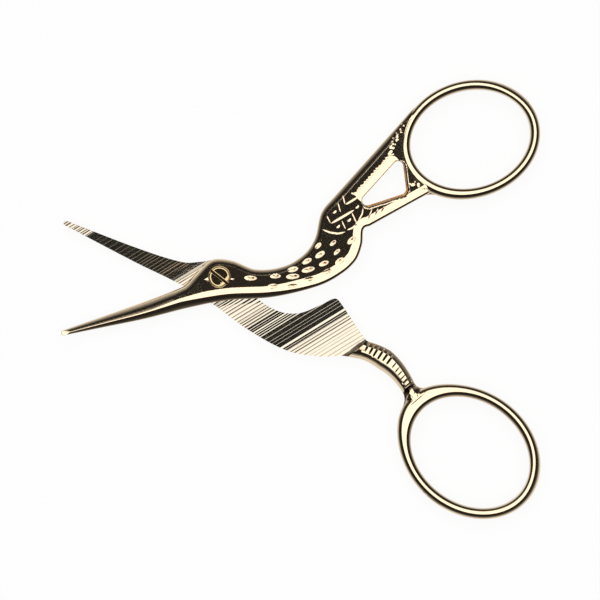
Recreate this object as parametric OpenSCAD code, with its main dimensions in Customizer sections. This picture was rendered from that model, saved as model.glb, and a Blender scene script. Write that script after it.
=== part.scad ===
// Stork embroidery scissors: two forged halves that turn on one slotted screw.
// Each half is drawn as it lies when the scissors are closed, with the beak towards -X and
// the finger rings towards +X. It is then turned about the screw by half the open angle.
// The origin is on the axis of the screw, in the plane that the scissors lie on.

/* [Opening] */
// Angle between the two blades as drawn
open_angle = 39.1; // [0:0.1:90]

/* [Blades] */
// From the screw to the tip of each blade
blade_len = 28; // [22:0.5:34]
// Width of a blade at its blunt tip
tip_w = 0.75; // [0.5:0.05:1]
// Distance by which the back blade ends short of the front blade
tip_step = 0.4; // [0:0.1:1]
// Width of a blade half way along
mid_w = 2.7; // [2:0.1:3.4]
// Width of a blade at its heel
heel_w = 3.4; // [2.8:0.1:4.4]
// From the screw to the heel of the blades
heel_x = 6.5; // [5:0.1:8]
// Height of the straight upper line of the beak over the screw
beak_y = 0.3; // [0:0.05:0.6]
// Thickness of a blade at its tip
tip_t = 0.6; // [0.4:0.05:1]
// Thickness left along a cutting edge
edge_t = 0.16; // [0.1:0.02:0.3]
// Share of a blade's width that lies behind its ridge
ridge_share = 0.4; // [0.3:0.05:0.5]

/* [Bodies] */
// Thickness of one half at the screw
half_t = 1.7; // [1.4:0.1:2.2]
// Running gap between the two ground faces
blade_play = 0.04; // [0.02:0.01:0.08]
// Width of the rounded shoulder along the outlines
shoulder_w = 1.2; // [0.6:0.1:1.6]
// Thickness of one half at the edge of its shoulder
shoulder_t = 0.8; // [0.5:0.1:1.2]
// Top of the head over the screw
head_rise = 3.1; // [2.7:0.1:3.8]
// Throat below the screw
throat_drop = 4.1; // [3.6:0.1:4.8]
// From the screw back to the lowest point of the neck's upper line
neck_x = 10.6; // [9.5:0.1:11.5]
// Depth of the neck's upper line below the screw
neck_drop = 1.9; // [1.2:0.1:2.5]
// From the screw back to the deepest point of the belly
belly_x = 14.5; // [13.5:0.1:15.5]
// Depth of the front half's belly below the screw
front_belly_drop = 6.9; // [6.2:0.1:7.5]
// Depth of the back half's belly below the screw
back_belly_drop = 7.8; // [7.2:0.1:8.4]
// From the screw back to the corner where the front half's upper leg leaves the wing
wing_x = 20.25; // [19.5:0.05:21]
// Height of that corner over the screw
wing_rise = 5; // [4.6:0.1:5.6]
// From the screw back to the corner where the front half's lower leg leaves the tail
tail_x = 25.2; // [24.6:0.1:25.8]
// Depth of that corner below the screw
tail_drop = 0.55; // [0.3:0.05:0.9]
// Top of the back half's shoulder over the screw
hump_rise = 3.1; // [2.6:0.1:3.4]
// From the screw back to the top of that shoulder
hump_x = 19.6; // [19.2:0.1:20]
// From the screw back to the corner where the back half's leg leaves its body
back_heel_x = 26.7; // [26:0.1:27.4]

/* [Legs] */
// Thickness of the legs
leg_t = 3; // [2.4:0.1:3.4]
// Thickness of the legs where they run into the rings
leg_end_t = 2.5; // [2.1:0.1:2.6]
// Width of the back half's leg where it leaves the body
leg_root_w = 3.1; // [2.8:0.1:3.4]
// Width of the back half's leg at its knee
leg_knee_w = 3.6; // [3.2:0.1:4]
// Width of the back half's leg where it meets its ring
leg_foot_w = 2.5; // [2.2:0.1:3]
// Clearance between a step and the other half when the scissors are closed
step_gap = 1.1; // [0.6:0.1:1.4]
// Lean of the steps away from upright
step_lean = 20; // [0:1:30]
// Radius of the corners of the opening between the front half's legs
window_r = 0.85; // [0.5:0.05:1]
// Height of that opening between its corner centres
window_h = 3.8; // [3:0.1:4.2]
// Length of that opening between its corner centres
window_l = 5.9; // [4.5:0.1:6.2]
// Height of the opening's lower corner centres over the screw
window_y = 3.65; // [3.4:0.05:3.9]
// From the opening's upper corner to the hole of the ring
crossbar_w = 1.9; // [1.5:0.1:2.4]
// Chamfer round that opening
window_chamfer = 0.35; // [0.1:0.05:0.6]

/* [Finger rings] */
// Width of the front ring's wire seen from above
front_wire_w = 1.7; // [1.5:0.1:2.4]
// Width of the back ring's wire seen from above
back_wire_w = 1.85; // [1.5:0.1:2.4]
// Thickness of the rings
ring_t = 2.8; // [2.2:0.1:3.2]
// Gap between the rings when the scissors are closed
ring_gap = 1; // [0.4:0.1:2]
// Height of the closing line between the rings over the screw
parting_y = -2.6; // [-3.2:0.1:-2]
// Extra width of the front ring's wire where the legs join it
front_collar_w = 0.2; // [0:0.05:0.6]
// Extra width of the back ring's wire where the leg joins it
back_collar_w = 1.15; // [0.4:0.05:1.4]
// From the screw to the far end of the front ring
handle_len = 58.8; // [57:0.1:63]
// Length of the front ring's hole
front_hole_l = 20.2; // [17:0.1:24]
// Width of the front ring's hole
front_hole_w = 16.1; // [13:0.1:19]
// Tilt of the front ring when the scissors are closed
front_ring_tilt = -3.5; // [-8:0.5:0]
// Distance by which the back ring reaches past the front ring when the scissors are closed
ring_step = 2.6; // [1:0.1:3.5]
// Length of the back ring's hole
back_hole_l = 21.3; // [18:0.1:25]
// Width of the back ring's hole
back_hole_w = 16.8; // [14:0.1:20]
// Tilt of the back ring when the scissors are closed
back_ring_tilt = -17.5; // [-22:0.5:-12]

/* [Pivot screw] */
// Diameter of the screw's head
screw_head_d = 3.7; // [3:0.1:4.2]
// Height of the screw's head
screw_head_h = 0.85; // [0.6:0.05:1.2]
// Chamfer round the top of the head
screw_chamfer = 0.4; // [0.2:0.05:0.5]
// Depth of the seat that the head sits in
seat_depth = 0.3; // [0.1:0.05:0.5]
// Clearance round and under the head
head_play = 0.03; // [0.02:0.01:0.08]
// Diameter of the screw's shank
shank_d = 2; // [1.6:0.1:2.4]
// Radial clearance of the shank in the front half
shank_play = 0.04; // [0.02:0.01:0.08]
// Width of the screwdriver slot
slot_w = 0.5; // [0.3:0.05:0.7]
// Depth of the screwdriver slot
slot_depth = 0.35; // [0.2:0.05:0.5]
// Angle of the screwdriver slot
slot_angle = -38; // [-90:1:90]

/* [Hidden] */
$fn = 96;

// Levels above the plane that the scissors lie on
back_face_z = half_t;
front_face_z = half_t + blade_play;
mid_z = half_t + blade_play / 2;
top_z = front_face_z + half_t;
blank_t = mid_z;

// Number of straight pieces round a ring and along a leg, and their lengths on blades and bodies
ring_sides = 72;
leg_steps = 14;
blade_step = 1.6;
body_step = 0.65;

// Distance by which a cut runs past the surface that it starts from
past = 1;

// Radii of an oval through the middle of a ring's wire
function wire_radii(hole_l, hole_w, wire_w) = [hole_l + wire_w, hole_w + wire_w] / 2;

// Half the length and half the height that a tilted oval reaches
function oval_reach(radii, tilt) = [
    norm([radii.x * cos(tilt), radii.y * sin(tilt)]),
    norm([radii.x * sin(tilt), radii.y * cos(tilt)])
];

front_radii = wire_radii(front_hole_l, front_hole_w, front_wire_w);
back_radii = wire_radii(back_hole_l, back_hole_w, back_wire_w);
front_outer = [front_wire_w, front_wire_w] / 2;
back_outer = [back_wire_w, back_wire_w] / 2;
front_reach = oval_reach(front_radii + front_outer, front_ring_tilt);
back_reach = oval_reach(back_radii + back_outer, back_ring_tilt);
front_ring_at = [handle_len - front_reach.x, parting_y + ring_gap / 2 + front_reach.y];
back_ring_at = [handle_len + ring_step - back_reach.x, parting_y - ring_gap / 2 - back_reach.y];
front_hole_x = front_ring_at.x - front_hole_l / 2;

// Point of a tilted oval at an angle of its own
function oval_point(at, radii, tilt, a) =
    at + [
        radii.x * cos(a) * cos(tilt) - radii.y * sin(a) * sin(tilt),
        radii.x * cos(a) * sin(tilt) + radii.y * sin(a) * cos(tilt)
    ];

// Angles on the rings where the legs meet them
upper_turn_a = 132;
upper_end_a = 123;
lower_end_a = 222;
front_foot_a = 230;
back_foot_a = 175;

// Where the lines of the front half's legs run into the outside of its ring
upper_leg_turn = oval_point(front_ring_at, front_radii + front_outer * 1.15, front_ring_tilt, upper_turn_a);
upper_leg_end = oval_point(front_ring_at, front_radii + front_outer * 0.6, front_ring_tilt, upper_end_a);
lower_leg_end = oval_point(front_ring_at, front_radii + front_outer * 1.1, front_ring_tilt, lower_end_a);

// Corners behind the bodies, which the steps keep clear of
tail_low = [mix(belly_x, tail_x, 0.72), -front_belly_drop * 0.73];
tail_up = [tail_x, -tail_drop];
back_corner = [mix(hump_x, back_heel_x, 0.155), hump_rise * 0.8];
back_heel = [back_heel_x, -neck_drop];

// How far the front half's tail curves out past the straight line between its corners
tail_bulge = tail_x * 0.018;

// Flat left along the ridge of a blade
ridge_w = 0.12;

// Outlines of the two halves, beak to handle, with a smooth curve through the points
beak_back_y = beak_y - mid_w * 0.13;
front_upper = [
    [-blade_len, beak_y + tip_w * 0.07],
    [-heel_x, beak_y + heel_w * 0.06],
    [-heel_x * 0.57, head_rise * 0.56],
    [-head_rise * 0.1, head_rise],
    [neck_x * 0.27, head_rise * 0.6],
    [neck_x * 0.57, -neck_drop * 0.42],
    [neck_x, -neck_drop],
    [belly_x, -neck_drop * 0.6],
    [wing_x - head_rise, wing_rise * 0.16],
    [wing_x - head_rise * 0.35, wing_rise * 0.79],
    [wing_x, wing_rise],
    mix([wing_x, wing_rise], upper_leg_turn, 0.1),
    mix([wing_x, wing_rise], upper_leg_turn, 0.9),
    upper_leg_turn,
    upper_leg_end
];
front_lower = [
    [-blade_len, beak_y - tip_w],
    [-blade_len * 0.75, beak_y - (tip_w + mid_w) / 2],
    [-blade_len / 2, beak_y - mid_w],
    [-heel_x, beak_y - heel_w],
    [0, -throat_drop],
    [belly_x / 2, -(throat_drop + front_belly_drop) * 0.555],
    [belly_x, -front_belly_drop],
    [mix(belly_x, tail_x, 0.375), -front_belly_drop * 0.94],
    tail_low,
    [mix(belly_x, tail_x, 0.907), -front_belly_drop * 0.4],
    tail_up,
    mix(tail_up, lower_leg_end, 0.1),
    lower_leg_end
];
back_upper = [
    [tip_step - blade_len, beak_y],
    [-blade_len / 2, beak_back_y],
    [-heel_x, beak_y],
    [-heel_x * 0.57, head_rise * 0.45],
    [-head_rise * 0.1, head_rise * 0.95],
    [neck_x * 0.3, head_rise * 0.45],
    [neck_x * 0.65, -neck_drop * 0.6],
    [neck_x * 1.04, -neck_drop * 1.1],
    [belly_x, -neck_drop * 0.65],
    [mix(belly_x, hump_x, 0.57), hump_rise * 0.4],
    [mix(belly_x, hump_x, 0.863), hump_rise * 0.9],
    [hump_x, hump_rise],
    back_corner,
    mix(back_corner, back_heel, 0.35),
    mix(back_corner, back_heel, 0.7),
    back_heel
];
back_lower = [
    [tip_step - blade_len, beak_y - tip_w],
    [-blade_len / 2, beak_y - mid_w],
    [-heel_x, beak_y - heel_w * 1.045],
    [0, -throat_drop * 1.1],
    [belly_x / 2, -(throat_drop + back_belly_drop) * 0.559],
    [belly_x, -back_belly_drop],
    [mix(belly_x, back_heel.x, 0.45), -back_belly_drop * 0.89],
    [mix(belly_x, back_heel.x, 0.755), -back_belly_drop * 0.71],
    [back_heel.x, back_heel.y - leg_root_w]
];

// Slope of a curve at one of its points
function slope_at(p, i) =
    let (a = p[max(i - 1, 0)], b = p[min(i + 1, len(p) - 1)])
    (b.y - a.y) / (b.x - a.x);

// Height of the smooth curve through the points p at a distance x
function curve_y(p, x, i = 0) =
    x > p[i + 1].x && i < len(p) - 2
        ? curve_y(p, x, i + 1)
        : let (h = p[i + 1].x - p[i].x, t = (x - p[i].x) / h)
          (2 * t ^ 3 - 3 * t ^ 2 + 1) * p[i].y
          + (t ^ 3 - 2 * t ^ 2 + t) * h * slope_at(p, i)
          + (3 * t ^ 2 - 2 * t ^ 3) * p[i + 1].y
          + (t ^ 3 - t ^ 2) * h * slope_at(p, i + 1);

function mix(a, b, k) = a + (b - a) * k;

// Share of the way from the blade's bevels to the body's rounded shoulders
function body_share(x) = min(1, max(0, (x + heel_x) / (heel_x * 0.6)));

// Half the thickness of a forging before it is ground flat
function half_height(x) = lookup(x, [
    [-blade_len, tip_t],
    [-heel_x * 0.5, blank_t],
    [mix(belly_x, tail_x, 0.19), blank_t],
    [tail_x, leg_t / 2],
    [front_hole_x, leg_end_t / 2]
]);

// Section of a forging, w wide and t thick each way, about the point c and along the unit vector side.
// k runs from 0 on a blade to 1 on a body, and cut_up says that the cutting edge is on the side's end.
function section(c, side, w, t, k, cut_up) =
    let (
        back_w = w * ridge_share,
        round_w = min(shoulder_w, w * 0.4),
        edge = min(shoulder_t, t * 0.5),
        cut_w = mix(w - back_w - ridge_w, round_w, k),
        spine_w = mix(back_w, round_w, k),
        low_w = cut_up ? spine_w : cut_w,
        up_w = cut_up ? cut_w : spine_w,
        cut_e = mix(edge_t, edge, k),
        low_e = cut_up ? edge : cut_e,
        up_e = cut_up ? cut_e : edge,
        bow = mix(0.35, 0.7, k),
        half = [
            [-w / 2, low_e],
            [-w / 2 + low_w * 0.35, mix(low_e, t, bow)],
            [-w / 2 + low_w, t],
            [w / 2 - up_w, t],
            [w / 2 - up_w * 0.35, mix(up_e, t, bow)],
            [w / 2, up_e]
        ]
    )
    [
        for (p = half) [c.x + side.x * p.x, c.y + side.y * p.x, p.y],
        for (i = [5:-1:0]) [c.x + side.x * half[i].x, c.y + side.y * half[i].x, -half[i].y]
    ];

// Upright section between two outlines at x
function cross_section(upper, lower, x, cut_up) =
    let (up = curve_y(upper, x), low = curve_y(lower, x))
    section([x, (up + low) / 2], [0, 1], up - low, half_height(x), body_share(x), cut_up);

// Skin of a solid through a row of closed sections, with flat ends unless it closes on itself
module skin(rows, closed = false) {
    n = len(rows[0]);
    m = len(rows);
    last = closed ? m - 1 : m - 2;
    sides = [
        for (j = [0:last])
            for (i = [0:n - 1])
                let (a = j * n + i, b = j * n + (i + 1) % n, c = ((j + 1) % m) * n)
                each [[a, b, c + i], [b, c + (i + 1) % n, c + i]]
    ];
    ends = closed ? [] : [[for (i = [n - 1:-1:0]) i], [for (i = [0:n - 1]) (m - 1) * n + i]];
    polyhedron(points = [for (r = rows) each r], faces = concat(sides, ends));
}

// Joins the skins of a half into one body
module forged() {
    resize([0, 0, 0]) children();
}

module at_mid() {
    translate([0, 0, mid_z]) children();
}

// Share of a ring's extra width at the angle a, where its leg joins at the angle foot_a
collar_spread = 33;
function collar(a, foot_a) = exp(-((a - foot_a) / collar_spread) ^ 2);

// Oval ring whose wire has a section between round and square
module ring(at, radii, tilt, wire_w, collar_w, foot_a) {
    across = [1, 0.86, 0.5, 0, -0.5, -0.86, -1, -0.86, -0.5, 0, 0.5, 0.86];
    roundness = 2.6;
    rows = [
        for (s = [0:ring_sides - 1])
            let (
                a = s * 360 / ring_sides,
                p = [radii.x * cos(a), radii.y * sin(a)],
                out = [p.x / radii.x ^ 2, p.y / radii.y ^ 2],
                n = out / norm(out)
            )
            [
                for (i = [0:11])
                    let (
                        extra = across[i] > 0 ? collar_w * collar(a, foot_a) : 0,
                        q = p + n * across[i] * (wire_w / 2 + extra),
                        z = (1 - abs(across[i]) ^ roundness) ^ (1 / roundness) * ring_t / 2
                    )
                    [q.x, q.y, i < 6 ? z : -z]
            ]
    ];
    at_mid() translate(at) rotate(tilt) skin(rows, closed = true);
}

// Distances along a half at which its section is drawn
function stations(start, end) =
    concat(
        [for (x = [start:blade_step:-heel_x - blade_step / 2]) x],
        [for (x = [-heel_x:body_step:end - body_step / 2]) x],
        [end]
    );

// Sections of a blade and its body, from the tip to a distance end behind the screw
function body_rows(upper, lower, end, cut_up) =
    [for (x = stations(lower[0].x, end)) cross_section(upper, lower, x, cut_up)];

// Upright block with the outline of a tilted oval
module oval_block(at, radii, tilt) {
    translate([at.x, at.y, -past])
        linear_extrude(top_z + 2 * past)
            rotate(tilt)
                polygon([for (s = [0:ring_sides - 1])
                    [radii.x * cos(s * 360 / ring_sides), radii.y * sin(s * 360 / ring_sides)]]);
}

// Material ground off a half, up to a leaning step along the line from a to b.
// It lies on the left of that line, and reaches from face_z to below or above the half.
module ground_off(a, b, face_z, far_z) {
    run = b - a;
    lean = abs(far_z - face_z) * tan(step_lean);
    reach = 3 * blade_len;
    translate([a.x, a.y, 0])
        rotate(atan2(run.y, run.x))
            translate([-blade_len, 0, 0])
                rotate([90, 0, 90])
                    linear_extrude(reach)
                        polygon([[0, face_z], [-lean, far_z], [reach, far_z], [reach, face_z]]);
}

// Unit vector at right angles to the line from a to b, on its right
function right_of(a, b) = [b.y - a.y, a.x - b.x] / norm(b - a);

// Point of a smooth bend with four guide points
function bend(p, t) =
    (1 - t) ^ 3 * p[0] + 3 * (1 - t) ^ 2 * t * p[1] + 3 * (1 - t) * t ^ 2 * p[2] + t ^ 3 * p[3];

// Sections of the back half's leg along a bend
function leg_rows(p) =
    [
        for (s = [1:leg_steps])
            let (
                t = s / leg_steps,
                run = bend(p, t + 0.01) - bend(p, t - 0.01),
                side = [-run.y, run.x] / norm(run),
                w = lookup(t, [[0, leg_root_w], [0.3, leg_knee_w], [0.75, leg_foot_w]])
            )
            section(bend(p, t), side, w, mix(leg_t, leg_end_t, t) / 2, 1, false)
    ];

// Three-cornered opening between the front half's legs
module window() {
    top_x = front_hole_x - window_r - crossbar_w;
    low_x = top_x - window_r;
    corners = [
        [low_x - window_l, window_y + window_h * 0.04],
        [low_x, window_y],
        [top_x, window_y + window_h]
    ];
    hull()
        for (c = corners)
            translate([c.x, c.y, -past])
                cylinder(r = window_r, h = top_z + 2 * past, $fn = 32);
    at_mid()
        for (way = [0, 1])
            mirror([0, 0, way])
                hull()
                    for (c = corners)
                        translate([c.x, c.y, leg_t / 2 - window_chamfer])
                            cylinder(r1 = window_r, r2 = window_r + 2 * window_chamfer,
                                     h = 2 * window_chamfer, $fn = 32);
}

module front_half() {
    step = right_of(back_corner, back_heel) * step_gap;
    color("khaki") rotate(open_angle / 2) difference() {
        forged() difference() {
            union() {
                difference() {
                    at_mid() skin(body_rows(front_upper, front_lower, upper_leg_end.x, true));
                    oval_block(front_ring_at, front_radii - front_outer * 0.2, front_ring_tilt);
                }
                ring(front_ring_at, front_radii, front_ring_tilt, front_wire_w, front_collar_w, front_foot_a);
            }
            ground_off(back_heel - step, back_corner - step, front_face_z, -past);
            window();
        }
        cylinder(r = shank_d / 2 + shank_play, h = top_z + past);
        translate([0, 0, top_z - seat_depth]) cylinder(r = screw_head_d / 2 + head_play, h = past);
    }
}

module back_half() {
    step = right_of(tail_low, tail_up) * (step_gap + tail_bulge);
    foot = oval_point(back_ring_at, back_radii, back_ring_tilt, back_foot_a);
    run = foot - back_heel;
    leg_path = [
        back_heel - [0, leg_root_w / 2],
        back_heel + [run.x * 0.39, -leg_root_w * 0.39],
        foot + [-run.x * 0.32, leg_knee_w * 1.14],
        foot
    ];
    color("palegoldenrod") rotate(-open_angle / 2) difference() {
        forged() difference() {
            union() {
                at_mid()
                    skin(concat(body_rows(back_upper, back_lower, back_heel.x, false), leg_rows(leg_path)));
                ring(back_ring_at, back_radii, back_ring_tilt, back_wire_w, back_collar_w, back_foot_a);
            }
            ground_off(tail_low + step, tail_up + step, back_face_z, top_z + past);
        }
        cylinder(d = shank_d, h = top_z);
    }
}

module pivot_screw() {
    seat_z = top_z - seat_depth + head_play;
    head_z = seat_z + screw_head_h;
    r = screw_head_d / 2;
    color("gold") rotate(slot_angle) difference() {
        rotate_extrude()
            polygon([
                [0, 0],
                [shank_d / 2, 0],
                [shank_d / 2, seat_z],
                [r, seat_z],
                [r, head_z - screw_chamfer],
                [r - screw_chamfer, head_z],
                [0, head_z]
            ]);
        translate([-screw_head_d, -slot_w / 2, head_z - slot_depth])
            cube([2 * screw_head_d, slot_w, slot_depth + past]);
    }
}

front_half();
back_half();
pivot_screw();
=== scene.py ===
"""Stork embroidery scissors: two gilt halves with cut feathers, and the slotted screw that they turn on.

The halves are drawn in millimetres as they lie when the scissors are closed, beak towards -X and rings
towards +X. Each is then turned about the screw by half the open angle and written in metres.
"""

import math

import bpy
import numpy as np
from bpy.props import FloatProperty, FloatVectorProperty, PointerProperty
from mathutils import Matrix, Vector, kdtree
from mathutils.geometry import delaunay_2d_cdt


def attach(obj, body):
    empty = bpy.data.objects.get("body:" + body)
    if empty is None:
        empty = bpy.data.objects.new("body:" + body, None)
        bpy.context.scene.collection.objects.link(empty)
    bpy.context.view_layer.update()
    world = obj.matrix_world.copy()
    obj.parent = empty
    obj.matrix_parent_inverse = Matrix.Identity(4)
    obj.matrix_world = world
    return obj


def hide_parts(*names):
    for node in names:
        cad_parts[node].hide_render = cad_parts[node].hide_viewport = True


bl_info = {
    "name": "Stork embroidery scissors",
    "version": (1, 0, 0),
    "blender": (4, 5, 0),
    "location": "3D View > Sidebar > Scissors",
    "description": "Builds a pair of gilt stork embroidery scissors round its packed solids",
    "category": "Add Mesh",
}

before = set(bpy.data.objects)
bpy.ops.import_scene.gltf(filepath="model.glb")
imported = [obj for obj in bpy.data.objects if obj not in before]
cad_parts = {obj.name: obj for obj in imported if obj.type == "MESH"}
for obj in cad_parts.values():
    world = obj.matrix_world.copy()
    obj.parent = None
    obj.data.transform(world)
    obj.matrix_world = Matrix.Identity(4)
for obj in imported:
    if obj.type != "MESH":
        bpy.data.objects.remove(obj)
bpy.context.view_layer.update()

MM = 0.001
HALF_OPEN = 19.55

# Blades and bodies, in millimetres from the screw
BLADE_LEN = 28.0
TIP_W = 0.75
TIP_STEP = 0.4
MID_W = 2.7
HEEL_W = 3.4
HEEL_X = 6.5
BEAK_Y = 0.3
HEAD_RISE = 3.1
THROAT_DROP = 4.1
NECK_X = 10.6
NECK_DROP = 1.9
BELLY_X = 14.5
FRONT_BELLY = 6.9
BACK_BELLY = 7.8
WING = (20.25, 5.0)
TAIL = (25.2, -0.55)
HUMP = (19.6, 3.1)
BACK_HEEL = (26.7, -NECK_DROP)
BACK_CORNER = (HUMP[0] + (BACK_HEEL[0] - HUMP[0]) * 0.155, HUMP[1] * 0.8)
THINNER_FROM_X = 16.53

# Steps between ground faces and legs: gap to the other half, lean in degrees, distances of rows of
# points, where a step gets painted shade, and how sharply a ground face ends, over a millimetre
STEP_GAP = 1.1
STEP_LEAN = 20.0
STEP_ROWS = (0.0, 0.025, 0.3, 0.54, 0.6)
STEP_SHADE = (-0.01, 0.57)
FACE_END = 40

# Levels over the plane that the scissors lie on, and half the thickness of tip, blank, leg and ring
MID_Z = 1.72
BACK_FACE_Z = 1.7
FRONT_FACE_Z = 1.74
TIP_T = 0.6
BLANK_T = MID_Z
LEG_T = 1.5
LEG_END_T = 1.25
RING_T = 1.4

# Rings: middle, radii of the wire's centre line, tilt, half the wire's width, collar and where it sits
# in degrees, how far the half is turned open, and where and how far the wire's crest was filed inwards.
# Then how far round a collar and a filed place spread, and where the front ring's hole starts
FRONT_RING = dict(
    at=(47.01, 7.66), radii=(10.95, 8.9), tilt=-3.5, wire=0.85, collar=0.2, foot=230.0,
    open=HALF_OPEN, dip=(35.0, -0.3),
)
BACK_RING = dict(
    at=(49.09, -13.57), radii=(11.575, 9.325), tilt=-17.5, wire=0.925, collar=1.15, foot=175.0,
    open=-HALF_OPEN, dip=(20.0, -0.25),
)
COLLAR_SPREAD = 33.0
DIP_SPREAD = 26.0
FRONT_HOLE_X = 36.91

# Shares of the way along the back half's leg, and its widths there
LEG_WIDTHS = ((0, 0.3, 0.75), (3.1, 3.6, 2.5))

# Opening between the front half's legs: middles of its rounded corners and their radius, then the widths
# of its edge, its bevel and the sloping plane beside it, the slopes of edge and bevel and that of the
# plane, and distances of rows of points
WINDOW = ((27.412, 3.802), (33.312, 3.65), (34.162, 7.45))
WINDOW_R = 0.85
WINDOW_EDGE = 0.14
WINDOW_BEVEL = 0.58
WINDOW_PLANE = 1.3
WINDOW_FLANK = (57.0, 29.0)
WINDOW_SLOPE = 9.0
WINDOW_ROWS = (0.22, 0.32, 0.46, 0.6, 0.72)

# Screw: radii and levels of its shank, seat and head, the width of the head's chamfer and its parts as
# start, width and slope in degrees, the way to the worn side, and the slot
SHANK_R = 1.0
SEAT_R = 1.88
SEAT_Z = 3.14
HEAD_R = 1.85
HEAD_TOP = 4.02
HEAD_LOW = 3.17
CHAMFER_W = 0.42
HEAD_CHAMFER = ((0.0, 0.14, 14), (0.14, 0.13, 34), (0.27, 0.5, 52))
HEAD_WORN = (0.75, -0.66)
SLOT_W = 0.5
SLOT_LIP = 0.02
SLOT_FLOOR = 3.67
SLOT_ANGLE = -38.0

# Feathers of the neck and belly: place, length, width and lie in degrees
FEATHERS = (
    (4.8, -1.9, 2.1, 0.75, -23),
    (8.8, -3.0, 1.8, 0.67, -17),
    (11.9, -2.9, 1.8, 0.83, -8),
    (14.6, -2.4, 1.7, 0.75, 8),
    (17.2, -0.6, 1.3, 0.67, 25),
    (17.0, -2.1, 1.8, 0.83, 13),
    (11.5, -4.0, 2.2, 0.83, -15),
    (14.3, -3.8, 2.2, 0.83, -6),
    (17.1, -3.7, 1.7, 0.75, 2),
    (19.8, -2.6, 1.3, 0.58, 22),
    (19.7, -1.0, 1.3, 0.58, 22),
    (22.7, -1.6, 1.7, 0.83, 25),
    (7.8, -4.4, 1.7, 0.75, -12),
    (10.9, -5.4, 1.7, 0.58, -10),
    (13.9, -5.3, 1.7, 0.67, -5),
    (17.2, -5.1, 1.7, 0.67, 5),
    (19.7, -4.2, 1.7, 0.83, 15),
)

# Cut lines of the wing: width, then the points of each line
WING_LINES = (
    (0.32, ((18.72, 1.75), (19.81, 0.84), (21.01, 0.23), (22.19, 0.08))),
    (0.3, ((22.61, 0.28), (23.51, 0.32), (24.52, 0.67))),
    (0.26, ((24.84, 1.08), (25.86, 1.96), (26.35, 2.84))),
    (0.42, ((20.46, 2.2), (24.83, 3.03))),
    (0.36, ((23.8, 4.37), (26.18, 4.85))),
    (0.15, ((20.25, 3.6), (20.41, 2.3))),
    (0.15, ((22.71, 5.02), (22.6, 3.47))),
    (0.16, ((23.88, 5.85), (23.75, 4.48))),
    (0.17, ((24.35, 2.67), (24.52, 0.67))),
    (0.16, ((22.33, 1.97), (22.43, 0.52))),
    (0.22, ((26.53, 0.84), (27.71, 2.19))),
    (0.22, ((27.85, 1.08), (28.68, 1.93))),
    (0.22, ((28.96, 1.21), (29.74, 1.91))),
    (0.28, ((25.31, 5.87), (26.14, 5.22))),
)

# Long dots of the wing: their middles, and the run from the middle to an end
WING_DOTS = ((21.66, 3.81), (21.4, 1.33), (23.49, 1.74), (25.47, 3.34))
WING_DOT_RUN = (0.32, 0.14)

# Corners of the eye beside the screw: start, run and width
EYE_CORNERS = (((-1.35, 0.02), (-1.2, 0.42), 0.72), ((1.45, -0.82), (0.75, -0.28), 0.4))

# Nicks along the upper leg's flank, and rows of punch marks beside the ring: start, end and count, then
# least and greatest radius and depth
NICK_COUNT = 15
NICK_WAY = np.array((-0.98, 0.14))
SPECK_FIELDS = (
    ((33.4, 9.8), (37.2, 13.8), 26),
    ((35.4, 4.2), (37.6, 1.9), 16),
    ((29.5, 2.2), (34.5, 2.6), 5),
)
PUNCH_RADII = (0.1, 0.24)
PUNCH_DEPTH = 0.05

# Rungs cut across the back half's leg
RUNGS = (
    (27.04, -2.78), (27.88, -2.92), (28.65, -3.09), (29.53, -3.31), (30.45, -3.3), (31.27, -3.6),
    (32.28, -4.1), (33.03, -4.6), (33.66, -5.0), (34.31, -5.5), (34.9, -6.0), (35.5, -6.5), (36.08, -6.95),
)

# Line cut into the back ring beside the leg
RING_LINE = ((37.06, -9.57), (38.73, -6.59))

# Groove between the back half's leg and its ring
COLLAR_LINE = ((36.5, -5.9), (35.75, -7.2), (35.6, -8.6), (36.0, -10.2))

# Sections of the cuts: width, unless it changes, then the rise of the broad wall over a run of 1, that
# wall's share of the width, and how much and how evenly the ends taper
WING_DOT_CUT = (0.44, 0.24, 0.7, 0.9)
EYE_CUT = (0.22, 0.7, 1.0, 1.0)
NICK_CUT = (0.34, 0.2, 0.8, 0.8)
RUNG_CUT = (0.6, 0.5, 0.3)
RING_LINE_CUT = (0.16, 0.6, 0.5, 0.9)
COLLAR_CUT = (1.0, 0.35, 0.5, 0.9)

# Rows of points that follow an outline, by their distance from it, the spacing of points, how far other
# lines keep from an outline, and how near two points are merged
ROWS = (0.0, 0.018, 0.06, 0.13)
CURVE_STEP = 0.1
RIM_STEP = 0.2
GUIDE_STEP = 0.16
FINE = 0.13
GUIDE_CLEAR = 0.03
MERGED = 0.001

# Share of the width that is half a feather's, slope of its wall, and how steep an edge is sharp
FEATHER_FULL = 0.52
FEATHER_WALL = 16.0
CRISP_FROM = 14.0

# Shares of a flank's and a wire's width that rows of points follow
FLANK_SHARES = (0.28, 0.52, 0.76, 1.0)
WIRE_SHARES = (0.09, 0.18, 0.23, 0.4, 0.56, 0.72, 0.86)

# Section of a ring's wire: share of half its width, and slope of its surface there, then half the
# thickness at its edge. Its crest leans to one side, and beside the leg a flat takes up a share of the
# collar, with a slope of its own
WIRE_SECTION = ((0.0, 9.0), (0.18, 19.0), (0.23, 28.0), (0.72, 35.0), (0.86, 51.0))
WIRE_EDGE_T = 0.12
WIRE_LEAN = 0.1
PLATEAU_SHARE = 0.85
PLATEAU_SLOPE = 9.0

# Painted shade on the steep sides: its share, and how level a face is where it starts, over what span
SIDE_SHADE = 0.26
SIDE_FROM = 0.75
SIDE_SPAN = 0.3

# Painted shade in the grinding lines on the front half and least share of it on the back half, in the rungs,
# and the depths at which a line, a rung and the collar's groove have all of it
LINE_SHADE = 0.6
LEAST_LINE_SHADE = 0.15
RUNG_SHADE = 0.5
LINE_DEEP = 0.06
RUNG_DEEP = 0.12
COLLAR_DEEP = 0.05

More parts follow.
